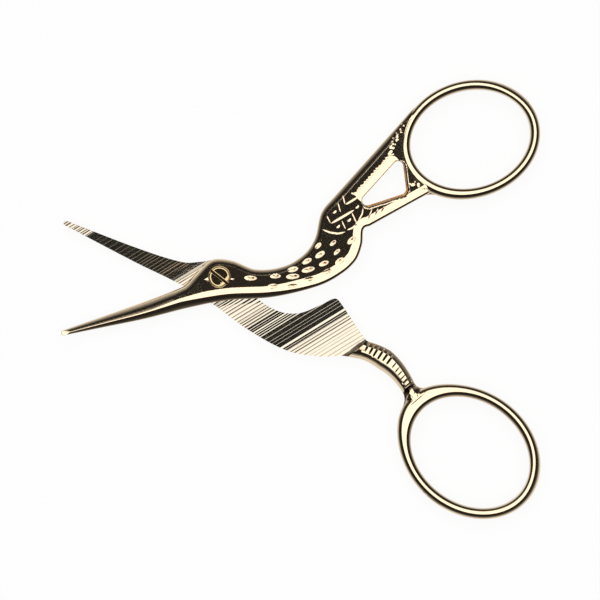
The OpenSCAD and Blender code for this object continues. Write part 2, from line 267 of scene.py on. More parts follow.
# Least half height of a blank, least thickness of the halves at their ground edges, radii of a blank's
# blunted edges, what cuts leave of it, and how steeply a leg falls outside its own outline
THINNEST = 0.045
FRONT_EDGE_T = 0.06
BACK_EDGE_T = 0.1
OUTER_BLUNT = 0.05
INNER_BLUNT = 0.04
LEFT_UNDER_CUTS = 0.3
LEG_FALL = 4

# Webs beside the rings: half height, flank, and how far they reach from a corner and fall off past that
WEB_T = 1.1
WEB_FLANK = (1.2, 42.0, 30.0, 0.0, 0.0)
WEB_REACH = 0.8
WEB_FALL = 1.6

# Grinding: the way of the lines in degrees, then place across the lines, their pitch, the tilt of the
# land between two lines, the width of a line and the slope of its walls
BACK_LINES = 51.0
FRONT_LINES = -52.0
BACK_GRINDING = (
    (-45.0, 0.42, 9.0, 0.1, 24.0),
    (-17.6, 0.42, 9.0, 0.1, 24.0),
    (-17.2, 0.8, 1.0, 0.01, 39.0),
    (-12.0, 0.7, 1.2, 0.015, 39.0),
    (-9.0, 0.5, 1.5, 0.04, 39.0),
    (-6.0, 0.45, 1.5, 0.06, 39.0),
    (-4.6, 0.45, 3.5, 0.06, 34.0),
    (-3.2, 0.5, 8.0, 0.07, 23.0),
    (8.5, 0.5, 8.0, 0.09, 23.0),
    (9.5, 0.42, 8.0, 0.12, 31.0),
    (12.2, 0.42, 8.0, 0.14, 31.0),
    (12.5, 0.6, 0.8, 0.02, 24.0),
    (15.0, 0.6, 0.8, 0.03, 24.0),
    (15.3, 0.5, 8.0, 0.16, 31.0),
    (17.0, 0.5, 8.5, 0.09, 24.0),
    (18.3, 0.55, 8.5, 0.015, 22.0),
    (45.0, 0.55, 8.5, 0.012, 22.0),
)
FRONT_GRINDING = (
    (-45.0, 0.45, 7.0, 0.07, 31.0),
    (-10.0, 0.45, 8.0, 0.06, 31.0),
    (0.0, 0.5, 6.0, 0.07, 31.0),
    (10.0, 0.5, 8.0, 0.06, 31.0),
    (45.0, 0.5, 8.0, 0.06, 31.0),
)

# Finishes: roughness, how fine the slow change of colour is, then how fine the grain is with the strength
# and the height in metres of its bump, and how streaks are drawn out
GILT_ROUGHNESS = 0.08
GROUND_ROUGHNESS = 0.1
SCREW_ROUGHNESS = 0.09
TINT_GRAIN = 260.0
POLISHED_GRAIN = (3800.0, 0.05, 0.000001)
GROUND_GRAIN = (6500.0, 0.2, 0.000002)
STREAK_SCALE = (0.06, 1.0, 1.0)

# Studio: soft box and dark camera, each as its inner and outer angle, a glow up to a height over the
# horizon, and the plain level everywhere
BOX_TOWARD = (-0.03, 0.14, 1.0)
BOX_CAP = (44.0, 52.0)
BOX_STRENGTH = 1.7
CAMERA_CAP = (10.0, 12.5)
GLOW_TOP = 0.41
GLOW_STRENGTH = 0.5
AMBIENT = 0.02

# Floor and camera, in metres, and the share of white in what is seen of the floor
FLOOR_HALF = 1.5
FLOOR_Z = -0.00003
FLOOR_LIFT = 0.9
CAMERA_AT = (0.01338, -0.00383, 0.5573)
LENS = 200.0
SENSOR_WIDTH = 36.0


def mix(a, b, k):
    """The value a share k of the way from a to b."""
    return np.asarray(a) + (np.asarray(b) - np.asarray(a)) * k


def unit(way):
    """A direction with a length of 1."""
    return way / np.hypot(*way)


def heading(degrees):
    """The direction at so many degrees from +X."""
    a = math.radians(degrees)
    return np.array((math.cos(a), math.sin(a)))


def left_of(p, closed=False):
    """Directions to the left of the way along a line, at each of its points."""
    way = np.roll(p, -1, 0) - np.roll(p, 1, 0) if closed else np.gradient(p, axis=0)
    return np.stack([-way[:, 1], way[:, 0]], 1) / np.hypot(*way.T)[:, None]


def turned(points, degrees):
    """Points of a plane turned about the origin."""
    c, s = math.cos(math.radians(degrees)), math.sin(math.radians(degrees))
    p = np.asarray(points, float)
    return np.stack([p[..., 0] * c - p[..., 1] * s, p[..., 0] * s + p[..., 1] * c], -1)


def smooth_curve(points, start, end):
    """Closely spaced points of the smooth curve through the given ones, between two distances."""
    x = np.arange(start, end, CURVE_STEP)
    p = np.asarray(points, float)
    i = np.clip(np.searchsorted(p[:, 0], x, side="left") - 1, 0, len(p) - 2)
    a, b = p[i], p[i + 1]
    c, d = p[np.maximum(i - 1, 0)], p[np.minimum(i + 2, len(p) - 1)]
    h = b[:, 0] - a[:, 0]
    t = (x - a[:, 0]) / h
    slope_a = (b[:, 1] - c[:, 1]) / (b[:, 0] - c[:, 0])
    slope_b = (d[:, 1] - a[:, 1]) / (d[:, 0] - a[:, 0])
    y = (
        (2 * t**3 - 3 * t**2 + 1) * a[:, 1]
        + (t**3 - 2 * t**2 + t) * h * slope_a
        + (3 * t**2 - 2 * t**3) * b[:, 1]
        + (t**3 - t**2) * h * slope_b
    )
    return np.stack([x, y], 1)


def evenly(points, step, closed=False):
    """A line's points spaced evenly along it."""
    p = np.asarray(points, float)
    if closed:
        p = np.vstack([p, p[:1]])
    lengths = np.r_[0, np.cumsum(np.hypot(*np.diff(p, axis=0).T))]
    count = max(int(round(lengths[-1] / step)), 4)
    s = np.linspace(0, lengths[-1], count + 1)
    out = np.stack([np.interp(s, lengths, p[:, 0]), np.interp(s, lengths, p[:, 1])], 1)
    return out[:-1] if closed else out


def softened(loop, corners, reach, rounds):
    """A closed line with its corners near the given points rounded off."""
    p = loop.copy()
    for corner in corners:
        w = np.clip(1.4 * (1 - np.hypot(*(loop - corner).T) / reach), 0, 1)[:, None]
        for _ in range(rounds):
            p += 0.5 * w * ((np.roll(p, 1, 0) + np.roll(p, -1, 0)) / 2 - p)
    return p


def point_tree(points):
    """A search tree of points of a plane."""
    tree = kdtree.KDTree(len(points))
    for i, (x, y) in enumerate(points):
        tree.insert((x, y, 0), i)
    tree.balance()
    return tree


class Line:
    """A line in a half's plane, with the distances of points from it."""

    def __init__(self, points, closed=False):
        self.p = np.asarray(points, float)
        self.closed = closed
        self.tree = point_tree(self.p)

    def reach(self, q):
        """Distance of each point from the line, more than 0 on its left, and the nearest point's place."""
        n = len(self.p)
        near = np.array([self.tree.find((x, y, 0))[1] for x, y in q])
        best = np.full(len(q), np.inf)
        signed = np.zeros(len(q))
        foot = np.zeros((len(q), 2))
        for step in (-1, 0):
            a = (near + step) % n if self.closed else np.clip(near + step, 0, n - 2)
            start = self.p[a]
            run = self.p[(a + 1) % n] - start
            t = np.clip(((q - start) * run).sum(1) / np.maximum((run**2).sum(1), 1e-12), 0, 1)
            place = start + run * t[:, None]
            gap = q - place
            d = np.hypot(*gap.T)
            side = np.where(run[:, 0] * gap[:, 1] - run[:, 1] * gap[:, 0] < 0, -1.0, 1.0)
            closer = d < best
            best = np.where(closer, d, best)
            signed = np.where(closer, d * side, signed)
            foot[closer] = place[closer]
        return signed, foot


def inside(loop, q):
    """Whether each point lies in a closed line."""
    a, b = loop, np.roll(loop, -1, 0)
    hit = np.zeros(len(q), bool)
    for part in np.array_split(np.arange(len(q)), max(len(q) // 4000, 1)):
        x, y = q[part, 0, None], q[part, 1, None]
        cross = (a[:, 1] > y) != (b[:, 1] > y)
        with np.errstate(divide="ignore", invalid="ignore"):
            at = a[:, 0] + (y - a[:, 1]) * (b[:, 0] - a[:, 0]) / (b[:, 1] - a[:, 1])
        hit[part] = (cross & (x < at)).sum(1) % 2 == 1
    return hit


def oval(ring, offset, degrees):
    """Points of a ring's plane, a distance outside or inside the middle of its wire."""
    a = np.radians(degrees)
    rx, ry = ring["radii"]
    p = np.stack([rx * np.cos(a), ry * np.sin(a)], -1)
    n = np.stack([np.cos(a) / rx, np.sin(a) / ry], -1)
    n /= np.hypot(n[..., 0], n[..., 1])[..., None]
    return turned(p + n * np.asarray(offset)[..., None], ring["tilt"]) + ring["at"]


def collar(ring, degrees):
    """Extra width of a ring's wire beside its leg."""
    off = (np.asarray(degrees) - ring["foot"] + 180) % 360 - 180
    return ring["collar"] * np.exp(-((off / COLLAR_SPREAD) ** 2))


def ring_edges(ring):
    """Outer and inner edge of a ring's wire, from above."""
    a = np.arange(0, 360, 1.0)
    return oval(ring, ring["wire"] - 0.01 + collar(ring, a), a), oval(ring, 0.01 - ring["wire"], a)


def ring_hole(ring):
    """Outline of a ring's hole, with the metal on its left."""
    return evenly(ring_edges(ring)[1], RIM_STEP, True)[::-1]


def bend(p, t):
    """Points of a smooth bend with four guide points."""
    t = np.asarray(t)[..., None]
    return (1 - t) ** 3 * p[0] + 3 * (1 - t) ** 2 * t * p[1] + 3 * (1 - t) * t**2 * p[2] + t**3 * p[3]


def crossing(line, ring_loop):
    """Where a line first runs into a ring, as the index of its last point outside and of the ring's point."""
    hit = inside(ring_loop, line)
    last = int(np.argmax(hit)) - 1
    near = int(np.argmin(np.hypot(*(ring_loop - line[last]).T)))
    return last, near


def joined_outline(upper, lower, ring):
    """Closed outline of a half: along its lower line, round its ring and back along its upper line."""
    outer, _ = ring_edges(ring)
    last_low, ring_low = crossing(lower, outer)
    last_up, ring_up = crossing(upper, outer)
    count = (ring_up - ring_low) % len(outer)
    round_ring = outer[(ring_low + np.arange(count + 1)) % len(outer)]
    loop = np.vstack([lower[: last_low + 1], round_ring, upper[last_up::-1]])
    return evenly(loop, RIM_STEP, True), (outer[ring_low], outer[ring_up])


def front_lines():
    """Upper and lower line of the front half."""
    ring = FRONT_RING
    outer = ring["wire"]
    turn = oval(ring, outer * 1.15, 132.0)
    end = oval(ring, outer * 0.6, 123.0)
    low_end = oval(ring, outer * 1.1, 222.0)
    wx, wy = WING
    up = [
        (-BLADE_LEN, BEAK_Y + TIP_W * 0.07),
        (-HEEL_X, BEAK_Y + HEEL_W * 0.06),
        (-HEEL_X * 0.57, HEAD_RISE * 0.56),
        (-HEAD_RISE * 0.1, HEAD_RISE),
        (NECK_X * 0.27, HEAD_RISE * 0.6),
        (NECK_X * 0.57, -NECK_DROP * 0.42),
        (NECK_X, -NECK_DROP),
        (BELLY_X, -NECK_DROP * 0.6),
        (wx - HEAD_RISE, wy * 0.16),
        (wx - HEAD_RISE * 0.35, wy * 0.79),
        WING,
        mix(WING, turn, 0.1),
        mix(WING, turn, 0.9),
        turn,
        end,
    ]
    low = [
        (-BLADE_LEN, BEAK_Y - TIP_W),
        (-BLADE_LEN * 0.75, BEAK_Y - (TIP_W + MID_W) / 2),
        (-BLADE_LEN / 2, BEAK_Y - MID_W),
        (-HEEL_X, BEAK_Y - HEEL_W),
        (0, -THROAT_DROP),
        (BELLY_X / 2, -(THROAT_DROP + FRONT_BELLY) * 0.555),
        (BELLY_X, -FRONT_BELLY),
        (mix(BELLY_X, TAIL[0], 0.375), -FRONT_BELLY * 0.94),
        (mix(BELLY_X, TAIL[0], 0.72), -FRONT_BELLY * 0.73),
        (mix(BELLY_X, TAIL[0], 0.907), -FRONT_BELLY * 0.4),
        TAIL,
        mix(TAIL, low_end, 0.1),
        low_end,
    ]
    return smooth_curve(up, -BLADE_LEN, end[0]), smooth_curve(low, -BLADE_LEN, low_end[0] + 0.6)


def back_lines():
    """Upper and lower line of the back half, down both sides of its leg, and the middle of the leg."""
    beak_back_y = BEAK_Y - MID_W * 0.13
    heel = np.array(BACK_HEEL)
    corner = np.array(BACK_CORNER)
    root = LEG_WIDTHS[1][0]
    up = [
        (TIP_STEP - BLADE_LEN, BEAK_Y),
        (-BLADE_LEN / 2, beak_back_y),
        (-HEEL_X, BEAK_Y),
        (-HEEL_X * 0.57, HEAD_RISE * 0.45),
        (-HEAD_RISE * 0.1, HEAD_RISE * 0.95),
        (NECK_X * 0.3, HEAD_RISE * 0.45),
        (NECK_X * 0.65, -NECK_DROP * 0.6),
        (NECK_X * 1.04, -NECK_DROP * 1.1),
        (BELLY_X, -NECK_DROP * 0.65),
        (mix(BELLY_X, HUMP[0], 0.57), HUMP[1] * 0.4),
        (mix(BELLY_X, HUMP[0], 0.863), HUMP[1] * 0.9),
        HUMP,
        corner,
        mix(corner, heel, 0.35),
        mix(corner, heel, 0.7),
        heel,
    ]
    low = [
        (TIP_STEP - BLADE_LEN, BEAK_Y - TIP_W),
        (-BLADE_LEN / 2, BEAK_Y - MID_W),
        (-HEEL_X, BEAK_Y - HEEL_W * 1.045),
        (0, -THROAT_DROP * 1.1),
        (BELLY_X / 2, -(THROAT_DROP + BACK_BELLY) * 0.559),
        (BELLY_X, -BACK_BELLY),
        (mix(BELLY_X, heel[0], 0.45), -BACK_BELLY * 0.89),
        (mix(BELLY_X, heel[0], 0.755), -BACK_BELLY * 0.71),
        (heel[0], heel[1] - root),
    ]
    foot = oval(BACK_RING, 0.0, BACK_RING["foot"])
    run = foot - heel
    knee = LEG_WIDTHS[1][1]
    path = [
        heel - [0, root / 2],
        heel + [run[0] * 0.39, -root * 0.39],
        foot + [-run[0] * 0.32, knee * 1.14],
        foot,
    ]
    t = np.linspace(0.04, 1, 60)
    middle = bend(path, t)
    way = bend(path, t + 0.01) - bend(path, t - 0.01)
    side = np.stack([-way[:, 1], way[:, 0]], 1) / np.hypot(*way.T)[:, None]
    w = np.interp(t, *LEG_WIDTHS)[:, None] / 2
    upper = np.vstack([smooth_curve(up, TIP_STEP - BLADE_LEN, heel[0]), middle + side * w])
    lower = np.vstack([smooth_curve(low, TIP_STEP - BLADE_LEN, heel[0]), middle - side * w])
    return evenly(upper, CURVE_STEP), evenly(lower, CURVE_STEP), middle


def window_loop():
    """Outline of the opening between the front half's legs, with the metal on its left."""
    out = []
    n = len(WINDOW)
    c = np.array(WINDOW)
    for i in range(n):
        before, here, after = c[i - 1], c[i], c[(i + 1) % n]
        a = math.atan2(*(here - before)[::-1]) - math.pi / 2
        b = math.atan2(*(after - here)[::-1]) - math.pi / 2
        b += math.ceil((a - b) / (2 * math.pi)) * 2 * math.pi
        for s in np.linspace(a, b, 14):
            out.append(here + WINDOW_R * np.array([math.cos(s), math.sin(s)]))
    return evenly(out, RIM_STEP, True)[::-1]


# Flanks of the outlines from the beak to the rings, the upper ones from behind the blade: distance from
# the screw, width of the edge, its slope in degrees at the rim and at its inner side, then the width and
# the slope of the plane inside it
UPPER_FLANK = (
    (-7.5, 1.4, 52, 28, 0.0, 0),
    (-4.0, 1.1, 52, 30, 0.0, 0),
    (0.0, 1.05, 51, 29, 0.0, 0),
    (8.0, 1.0, 48, 29, 0.0, 0),
    (19.0, 1.0, 46, 29, 0.0, 0),
    (23.0, 1.15, 46, 29, 0.015, 12),
    (34.0, 1.1, 46, 29, 0.015, 12),
    (37.0, 0.7, 46, 29, 0.0, 0),
)
LOWER_FLANK = (
    (-28.0, 0.26, 39, 33, 0.04, 10),
    (-18.0, 0.75, 38, 32, 0.11, 10),
    (-12.8, 1.0, 38, 32, 0.2, 10),
    (-7.5, 1.25, 38, 32, 0.55, 10),
    (-3.0, 1.1, 38, 31, 0.95, 10),
    (7.0, 0.9, 38, 31, 1.0, 10),
    (12.0, 0.6, 38, 31, 1.35, 10),
    (15.0, 0.5, 38, 31, 1.4, 10),
    (20.0, 0.42, 38, 31, 1.4, 10),
    (25.2, 0.38, 38, 31, 1.2, 10),
    (37.0, 0.34, 38, 31, 1.2, 10),
)
BACK_UP_FLANK = ((26.0, 0.85, 37, 28, 0.0, 0), (40.0, 0.8, 37, 28, 0.0, 0))
BACK_LOW_FLANK = ((22.5, 1.2, 58, 28, 0.0, 0), (36.0, 1.15, 58, 28, 0.0, 0), (40.0, 0.9, 52, 29, 0.0, 0))

# Places along the blade where its upper flank is given, the share of the way to the ridge that it takes
# up, and its slopes
BLADE_PLACES = (-28.0, -24.0, -20.0, -16.0, -12.8, -10.0, -8.5)
BLADE_SHARE = 0.985
BLADE_SLOPES = (50, 28)

# How steeply a flank and a wire go on falling outside their edges
PAST_EDGE = 3.5
PAST_WIRE = 6

# Half height of the beak's end facet and its slope
BEAK_END = (0.24, 17.0)


def slope(degrees):
    """Rise of a slope of so many degrees over a run of 1."""
    return np.tan(np.radians(degrees))


def flank_drop(d, width, rim_slope, inner_slope, plane, plane_slope):
    """How far the metal lies under its flat top at a distance d in from an edge."""
    inner, rim = slope(inner_slope), slope(rim_slope)
    v = np.clip(1 - d / np.maximum(width, 1e-6), 0, 1)
    edge = width * (inner * v + (rim - inner) * v**3 / 3) + np.where(d < 0, -PAST_EDGE * d, 0)
    return edge + slope(plane_slope) * np.clip(width + plane - d, 0, plane)


def blade_flank(upper, lower, table):
    """A table of upper flanks, with rows before it that reach from the blade's upper line to its ridge."""
    rows = []
    for x in BLADE_PLACES:
        breadth = np.interp(x, *upper.T) - np.interp(x, *lower.T)
        low_width, _, _, plane, _ = flank_values(LOWER_FLANK, x)
        rows.append((x, BLADE_SHARE * (breadth - low_width - plane), *BLADE_SLOPES, 0.0, 0))
    return tuple(rows) + table


def flank_values(table, x):
    """The values of a table of flanks at the distances x."""
    t = np.array(table)
    return [np.interp(x, t[:, 0], t[:, k]) for k in range(1, 6)]


def crest(ring, degrees):
    """How far a wire's crest lies outside its middle: it leans to one side, and in where it was filed."""
    a = np.asarray(degrees)
    at, dip = ring["dip"]
    off = (a - at + 180) % 360 - 180
    filed = dip * np.exp(-((off / DIP_SPREAD) ** 2))
    return WIRE_LEAN * np.sin(np.radians(a + ring["tilt"] + ring["open"])) + filed


def plateau(ring, degrees):
    """Width of the flat outside a wire's crest, beside the leg."""
    return PLATEAU_SHARE * collar(ring, degrees)


def wire_height(u, half):
    """Half the thickness of a wire at a share u of the way from its crest to its edge."""
    share, degrees = np.array(WIRE_SECTION).T
    fine = np.linspace(0, share[-1], 80)
    rise = slope(np.interp(fine, share, degrees))
    drop = np.r_[0, np.cumsum((rise[1:] + rise[:-1]) / 2 * np.diff(fine))]
    shoulder = RING_T - half * drop[-1]
    t = np.clip((u - share[-1]) / (1 - share[-1]), 0, 1)
    start = rise[-1] * half * (1 - share[-1]) / (shoulder - WIRE_EDGE_T)
    round_off = start * t + (1 - start) * (1 - (1 - t**2.5) ** 0.4)
    height = RING_T - half * np.interp(u, fine, drop) - (shoulder - WIRE_EDGE_T) * round_off
    return np.where(u > 1, -PAST_WIRE * (u - 1), height)


def ring_height(ring, q):
    """Half the thickness of a ring's wire at each point, less than 0 off the wire, and the point's place."""
    local = turned(q - np.array(ring["at"]), -ring["tilt"])
    rx, ry = ring["radii"]
    a = np.arctan2(local[:, 1] / ry, local[:, 0] / rx)
    for _ in range(3):
        gx, gy = local[:, 0] - rx * np.cos(a), local[:, 1] - ry * np.sin(a)
        f = gx * rx * np.sin(a) - gy * ry * np.cos(a)
        df = gx * rx * np.cos(a) + gy * ry * np.sin(a) + (rx * np.sin(a)) ** 2 + (ry * np.cos(a)) ** 2
        a = a - f / df
    n = np.stack([np.cos(a) / rx, np.sin(a) / ry], -1)
    n /= np.hypot(n[:, 0], n[:, 1])[:, None]
    across = gx * n[:, 0] + gy * n[:, 1]
    degrees = np.degrees(a)
    top = crest(ring, degrees)
    outward = across > top
    flat = np.where(outward, plateau(ring, degrees), 0)
    half = ring["wire"] + np.where(outward, collar(ring, degrees) - top - flat, top)
    d = np.abs(across - top)
    height = wire_height(np.clip(d - flat, 0, None) / half, half) - slope(PLATEAU_SLOPE) * np.minimum(d, flat)
    return height, across, degrees


def wire_lines(ring):
    """Closed lines round a ring's wire, along its crest and at shares of its section."""
    a = np.arange(0, 361, 1.2)
    top = crest(ring, a)
    flat = plateau(ring, a)
    out = ring["wire"] + collar(ring, a) - top - flat
    into = ring["wire"] + top
    lines = [oval(ring, top, a)]
    for u in WIRE_SHARES:
        lines += [oval(ring, top + flat + u * out, a), oval(ring, top - u * into, a)]
    return lines


def higher(a, b, soft):
    """The higher of two surfaces, with a fillet where they meet."""
    return (a + b + np.sqrt((a - b) ** 2 + soft**2)) / 2 - soft / 2 * np.exp(-np.abs(a - b) * 6)


def half_height(x):
    """Half the thickness of a forging at the distances x."""
    return np.interp(
        x,
        [-BLADE_LEN, -HEEL_X * 0.5, THINNER_FROM_X, TAIL[0], FRONT_HOLE_X],
        [TIP_T, BLANK_T, BLANK_T, LEG_T, LEG_END_T],
    )


def blunted(d, radius):
    """Drop of an edge that is rounded off over a small radius."""
    u = np.clip(radius - d, 0, radius)
    return radius - np.sqrt(np.maximum(radius**2 - u**2, 0))


def feather_cut(q, degrees):
    """Depth and painted shade of the feathers: scoops that fall from their left ends, with faint painted
    shade over each and more along the right-hand wall.
    """
    out, feather_shade = np.zeros(len(q)), np.zeros(len(q))
    for x, y, length, width, lie in FEATHERS:
        half = np.array((length / 2, width * FEATHER_FULL))
        e = turned(q - np.array((x, y)), -lie) / half
        far = np.hypot(*e.T)
        near = far < 1
        c, d = (e[near] / np.maximum(far[near], 1e-6)[:, None]).T
        from_rim = (1 - far[near]) / np.hypot(c / half[0], d / half[1])
        ramp = slope(degrees) * (e[near, 0] + 1) * half[0]
        out[near] = np.maximum(out[near], np.minimum(ramp, slope(FEATHER_WALL) * from_rim))
        # Painted shade: faint over the whole scoop, strongest along its right-hand and lower wall within 0.2
        # mm of the rim
        right = np.clip(0.2 + 0.9 * c - 0.7 * d, 0, 1)
        feather_shade[near] = 0.06 + 0.42 * right * np.clip(1 - from_rim / 0.2, 0, 1)
    return out, feather_shade


def feather_lines(degrees):
    """Closed lines round each feather, along the foot of its wall and half way up it."""
    a = np.radians(np.arange(0, 361, 15))
    rim = np.stack([np.cos(a), np.sin(a)], 1)
    lines = []
    for x, y, length, width, lie in FEATHERS:
        half = np.array((length / 2, width * FEATHER_FULL))
        rise = slope(FEATHER_WALL) / np.hypot(rim[:, 0] / half[0], rim[:, 1] / half[1])
        fall = slope(degrees) * half[0]
        foot = np.clip((rise - fall) / (rise + fall * rim[:, 0]), 0.05, 1)[:, None]
        for k in (0.0, 0.5, 1.0):
            lines.append(turned(rim * mix(1, foot, k) * half, lie) + (x, y))
    return lines


class Stroke:
    """A cut along a line: a broad wall and a narrow one, and pointed ends where taper is 1."""

    def __init__(self, points, width, rise, lean=0.8, taper=1.0, fullness=4.0):
        self.p = evenly(points, CURVE_STEP)
        self.width, self.rise, self.lean, self.taper, self.fullness = width, rise, lean, taper, fullness
        self.line = Line(self.p)
        self.start, self.chord = self.p[0], self.p[-1] - self.p[0]

    def local_width(self, places):
        """Width of the cut at places along it."""
        t = 2 * ((places - self.start) @ self.chord) / (self.chord @ self.chord) - 1
        return np.maximum(self.width * (1 - self.taper * np.abs(np.clip(t, -1, 1)) ** self.fullness), 1e-4)

    def cut(self, q):
        """Depth of the cut at each point."""
        out = np.zeros(len(q))
        near = np.all((q > self.p.min(0) - self.width) & (q < self.p.max(0) + self.width), 1)
        if near.any():
            d, foot = self.line.reach(q[near])
            width = self.local_width(foot)
            u = d / width + 0.5
            depth = self.rise * width * self.lean
            out[near] = depth * np.clip(np.minimum(u / self.lean, (1 - u) / (1 - self.lean)), 0, 1)
        return out

    def lines(self):
        """The cut's two edges and its bottom."""
        left = left_of(self.p)
        width = self.local_width(self.p)[:, None]
        return [self.p + left * width * k for k in (-0.5, self.lean - 0.5, 0.5)]


def punch_cut(q, at, radius, depth):
    """Depth of a round punch mark."""
    d = np.hypot(*(q - np.array(at)).T) / radius
    return depth * np.clip(1 - d**2, 0, 1)


def window_sides():
    """Start and way of the opening's upper left side, its length, and the way out of it."""
    a, b = np.array(WINDOW[0]), np.array(WINDOW[2])
    way = unit(b - a)
    out = np.array([-way[1], way[0]])
    return a + out * WINDOW_R, way, np.hypot(*(b - a)), out


def nicks():
    """Nicks that the flank beside the opening ends in."""
    rng = np.random.default_rng(7)
    start, way, length, out = window_sides()
    strokes = []
    for i in range(NICK_COUNT):
        t = mix(-0.4, length + 0.5, (i + rng.uniform(-0.2, 0.2)) / (NICK_COUNT - 1))
        at = start + way * t + out * (WINDOW_EDGE + WINDOW_PLANE - 0.1)
        ends = at - NICK_WAY * 0.15, at + NICK_WAY * rng.uniform(0.25, 0.42)
        strokes.append(Stroke(ends, *NICK_CUT))
    return strokes


def specks():
    """Places and radii of the punch marks beside the ring."""
    rng = np.random.default_rng(11)
    marks = []
    for start, end, count in SPECK_FIELDS:
        for i in range(count):
            at = mix(start, end, (i + rng.uniform(0, 1)) / count)
            spread = 0.5 - 0.3 * i / count
            aside = rng.uniform(-spread, spread, 2)
            marks.append((at + aside, rng.uniform(*PUNCH_RADII) * (1 - 0.4 * i / count)))
    return marks


def wing_strokes(sizes, legs):
    """The lines and long dots of the wing, and the corners of the eye."""
    strokes = [
        Stroke(points, width, sizes.line_slope)
        for width, points in WING_LINES
        if legs or max(p[0] for p in points) < 26
    ]
    for x, y in WING_DOTS:
        dx, dy = WING_DOT_RUN
        strokes.append(Stroke(((x - dx, y - dy), (x + dx, y + dy)), *WING_DOT_CUT))
    for (x, y), (dx, dy), width in EYE_CORNERS:
        strokes.append(Stroke(((x, y), (x + dx, y + dy)), width, *EYE_CUT))
    return strokes


def outer_relief(q, sizes, strokes, marks):
    """Depth of all that is cut into the outside of a half, and the painted shade of its feathers."""
    cut, feather_shade = feather_cut(q, sizes.feather_slope)
    for stroke in strokes:
        cut = np.maximum(cut, stroke.cut(q))
    for at, radius in marks:
        cut = np.maximum(cut, punch_cut(q, at, radius, PUNCH_DEPTH))
    return cut, feather_shade


class Grinding:
    """Lines that a wheel leaves across a ground face, with tilted lands between them."""

    def __init__(self, degrees, table, seed):
        self.along = heading(degrees)
        self.across = np.array([self.along[1], -self.along[0]])
        rng = np.random.default_rng(seed)
        columns = np.array(table).T
        rows = []
        s = columns[0][0]
        while s < columns[0][-1]:
            pitch, tilt, line, wall = [np.interp(s, columns[0], c) for c in columns[1:]]
            pitch *= rng.uniform(0.75, 1.25)
            tilt *= rng.uniform(0.75, 1.2)
            line *= rng.uniform(0.5, 1.5)
            rise, fall = slope(tilt), slope(wall)
            land = (pitch - 2 * line) / (1 + rise / fall)
            rows.append((s, land, land + line, land * rise, land * rise + line * fall))
            s += land + line + (land * rise + line * fall) / fall
        self.at, self.land, self.foot, self.edge_depth, self.foot_depth = np.array(rows).T

    def place(self, q):
        """The line that each point is in, the distance into it and its whole width."""
        s = q @ self.across
        i = np.clip(np.searchsorted(self.at, s) - 1, 0, len(self.at) - 2)
        return i, s - self.at[i], self.at[i + 1] - self.at[i]

    def depth(self, q):
        """Depth of the lines at each point."""
        i, s, width = self.place(q)
        land, foot = self.land[i], self.foot[i]
        on_land = self.edge_depth[i] * np.clip(s / land, 0, 1)
        down = (self.foot_depth[i] - self.edge_depth[i]) * np.clip((s - land) / (foot - land), 0, 1)
        up = self.foot_depth[i] * np.clip((s - foot) / (width - foot), 0, 1)
        return on_land + down - up

    def wall(self, q):
        """How near each point is to the foot of a line."""
        i, s, width = self.place(q)
        land, foot = self.land[i], self.foot[i]
        return np.clip(np.minimum((s - land) / (foot - land), (width - s) / (width - foot)), 0, 1)

    def lines(self, loop, keep):
        """Lines along the lands' edges and the lines' feet, over a closed line and where keep says so."""
        s_all, t_all = loop @ self.across, loop @ self.along
        t = np.arange(t_all.min() - 0.3, t_all.max() + 0.3, 0.3)
        lines = []
        for at, land, foot in zip(self.at, self.land, self.foot):
            if s_all.min() - 1 < at < s_all.max() + 1:
                for s in (at, at + land, at + foot):
                    row = self.across * s + self.along * t[:, None]
                    row = row[keep(row)]
                    if len(row) > 1:
                        lines.append(row)
        return lines


def hex_points(low, high, step):
    """Points of a regular lattice of triangles."""
    xs = np.arange(low[0], high[0], step)
    ys = np.arange(low[1], high[1], step * math.sqrt(3) / 2)
    gx, gy = np.meshgrid(xs, ys)
    gx = gx + np.where(np.arange(len(ys)) % 2, step / 2, 0)[:, None]
    return np.stack([gx.ravel(), gy.ravel()], 1)


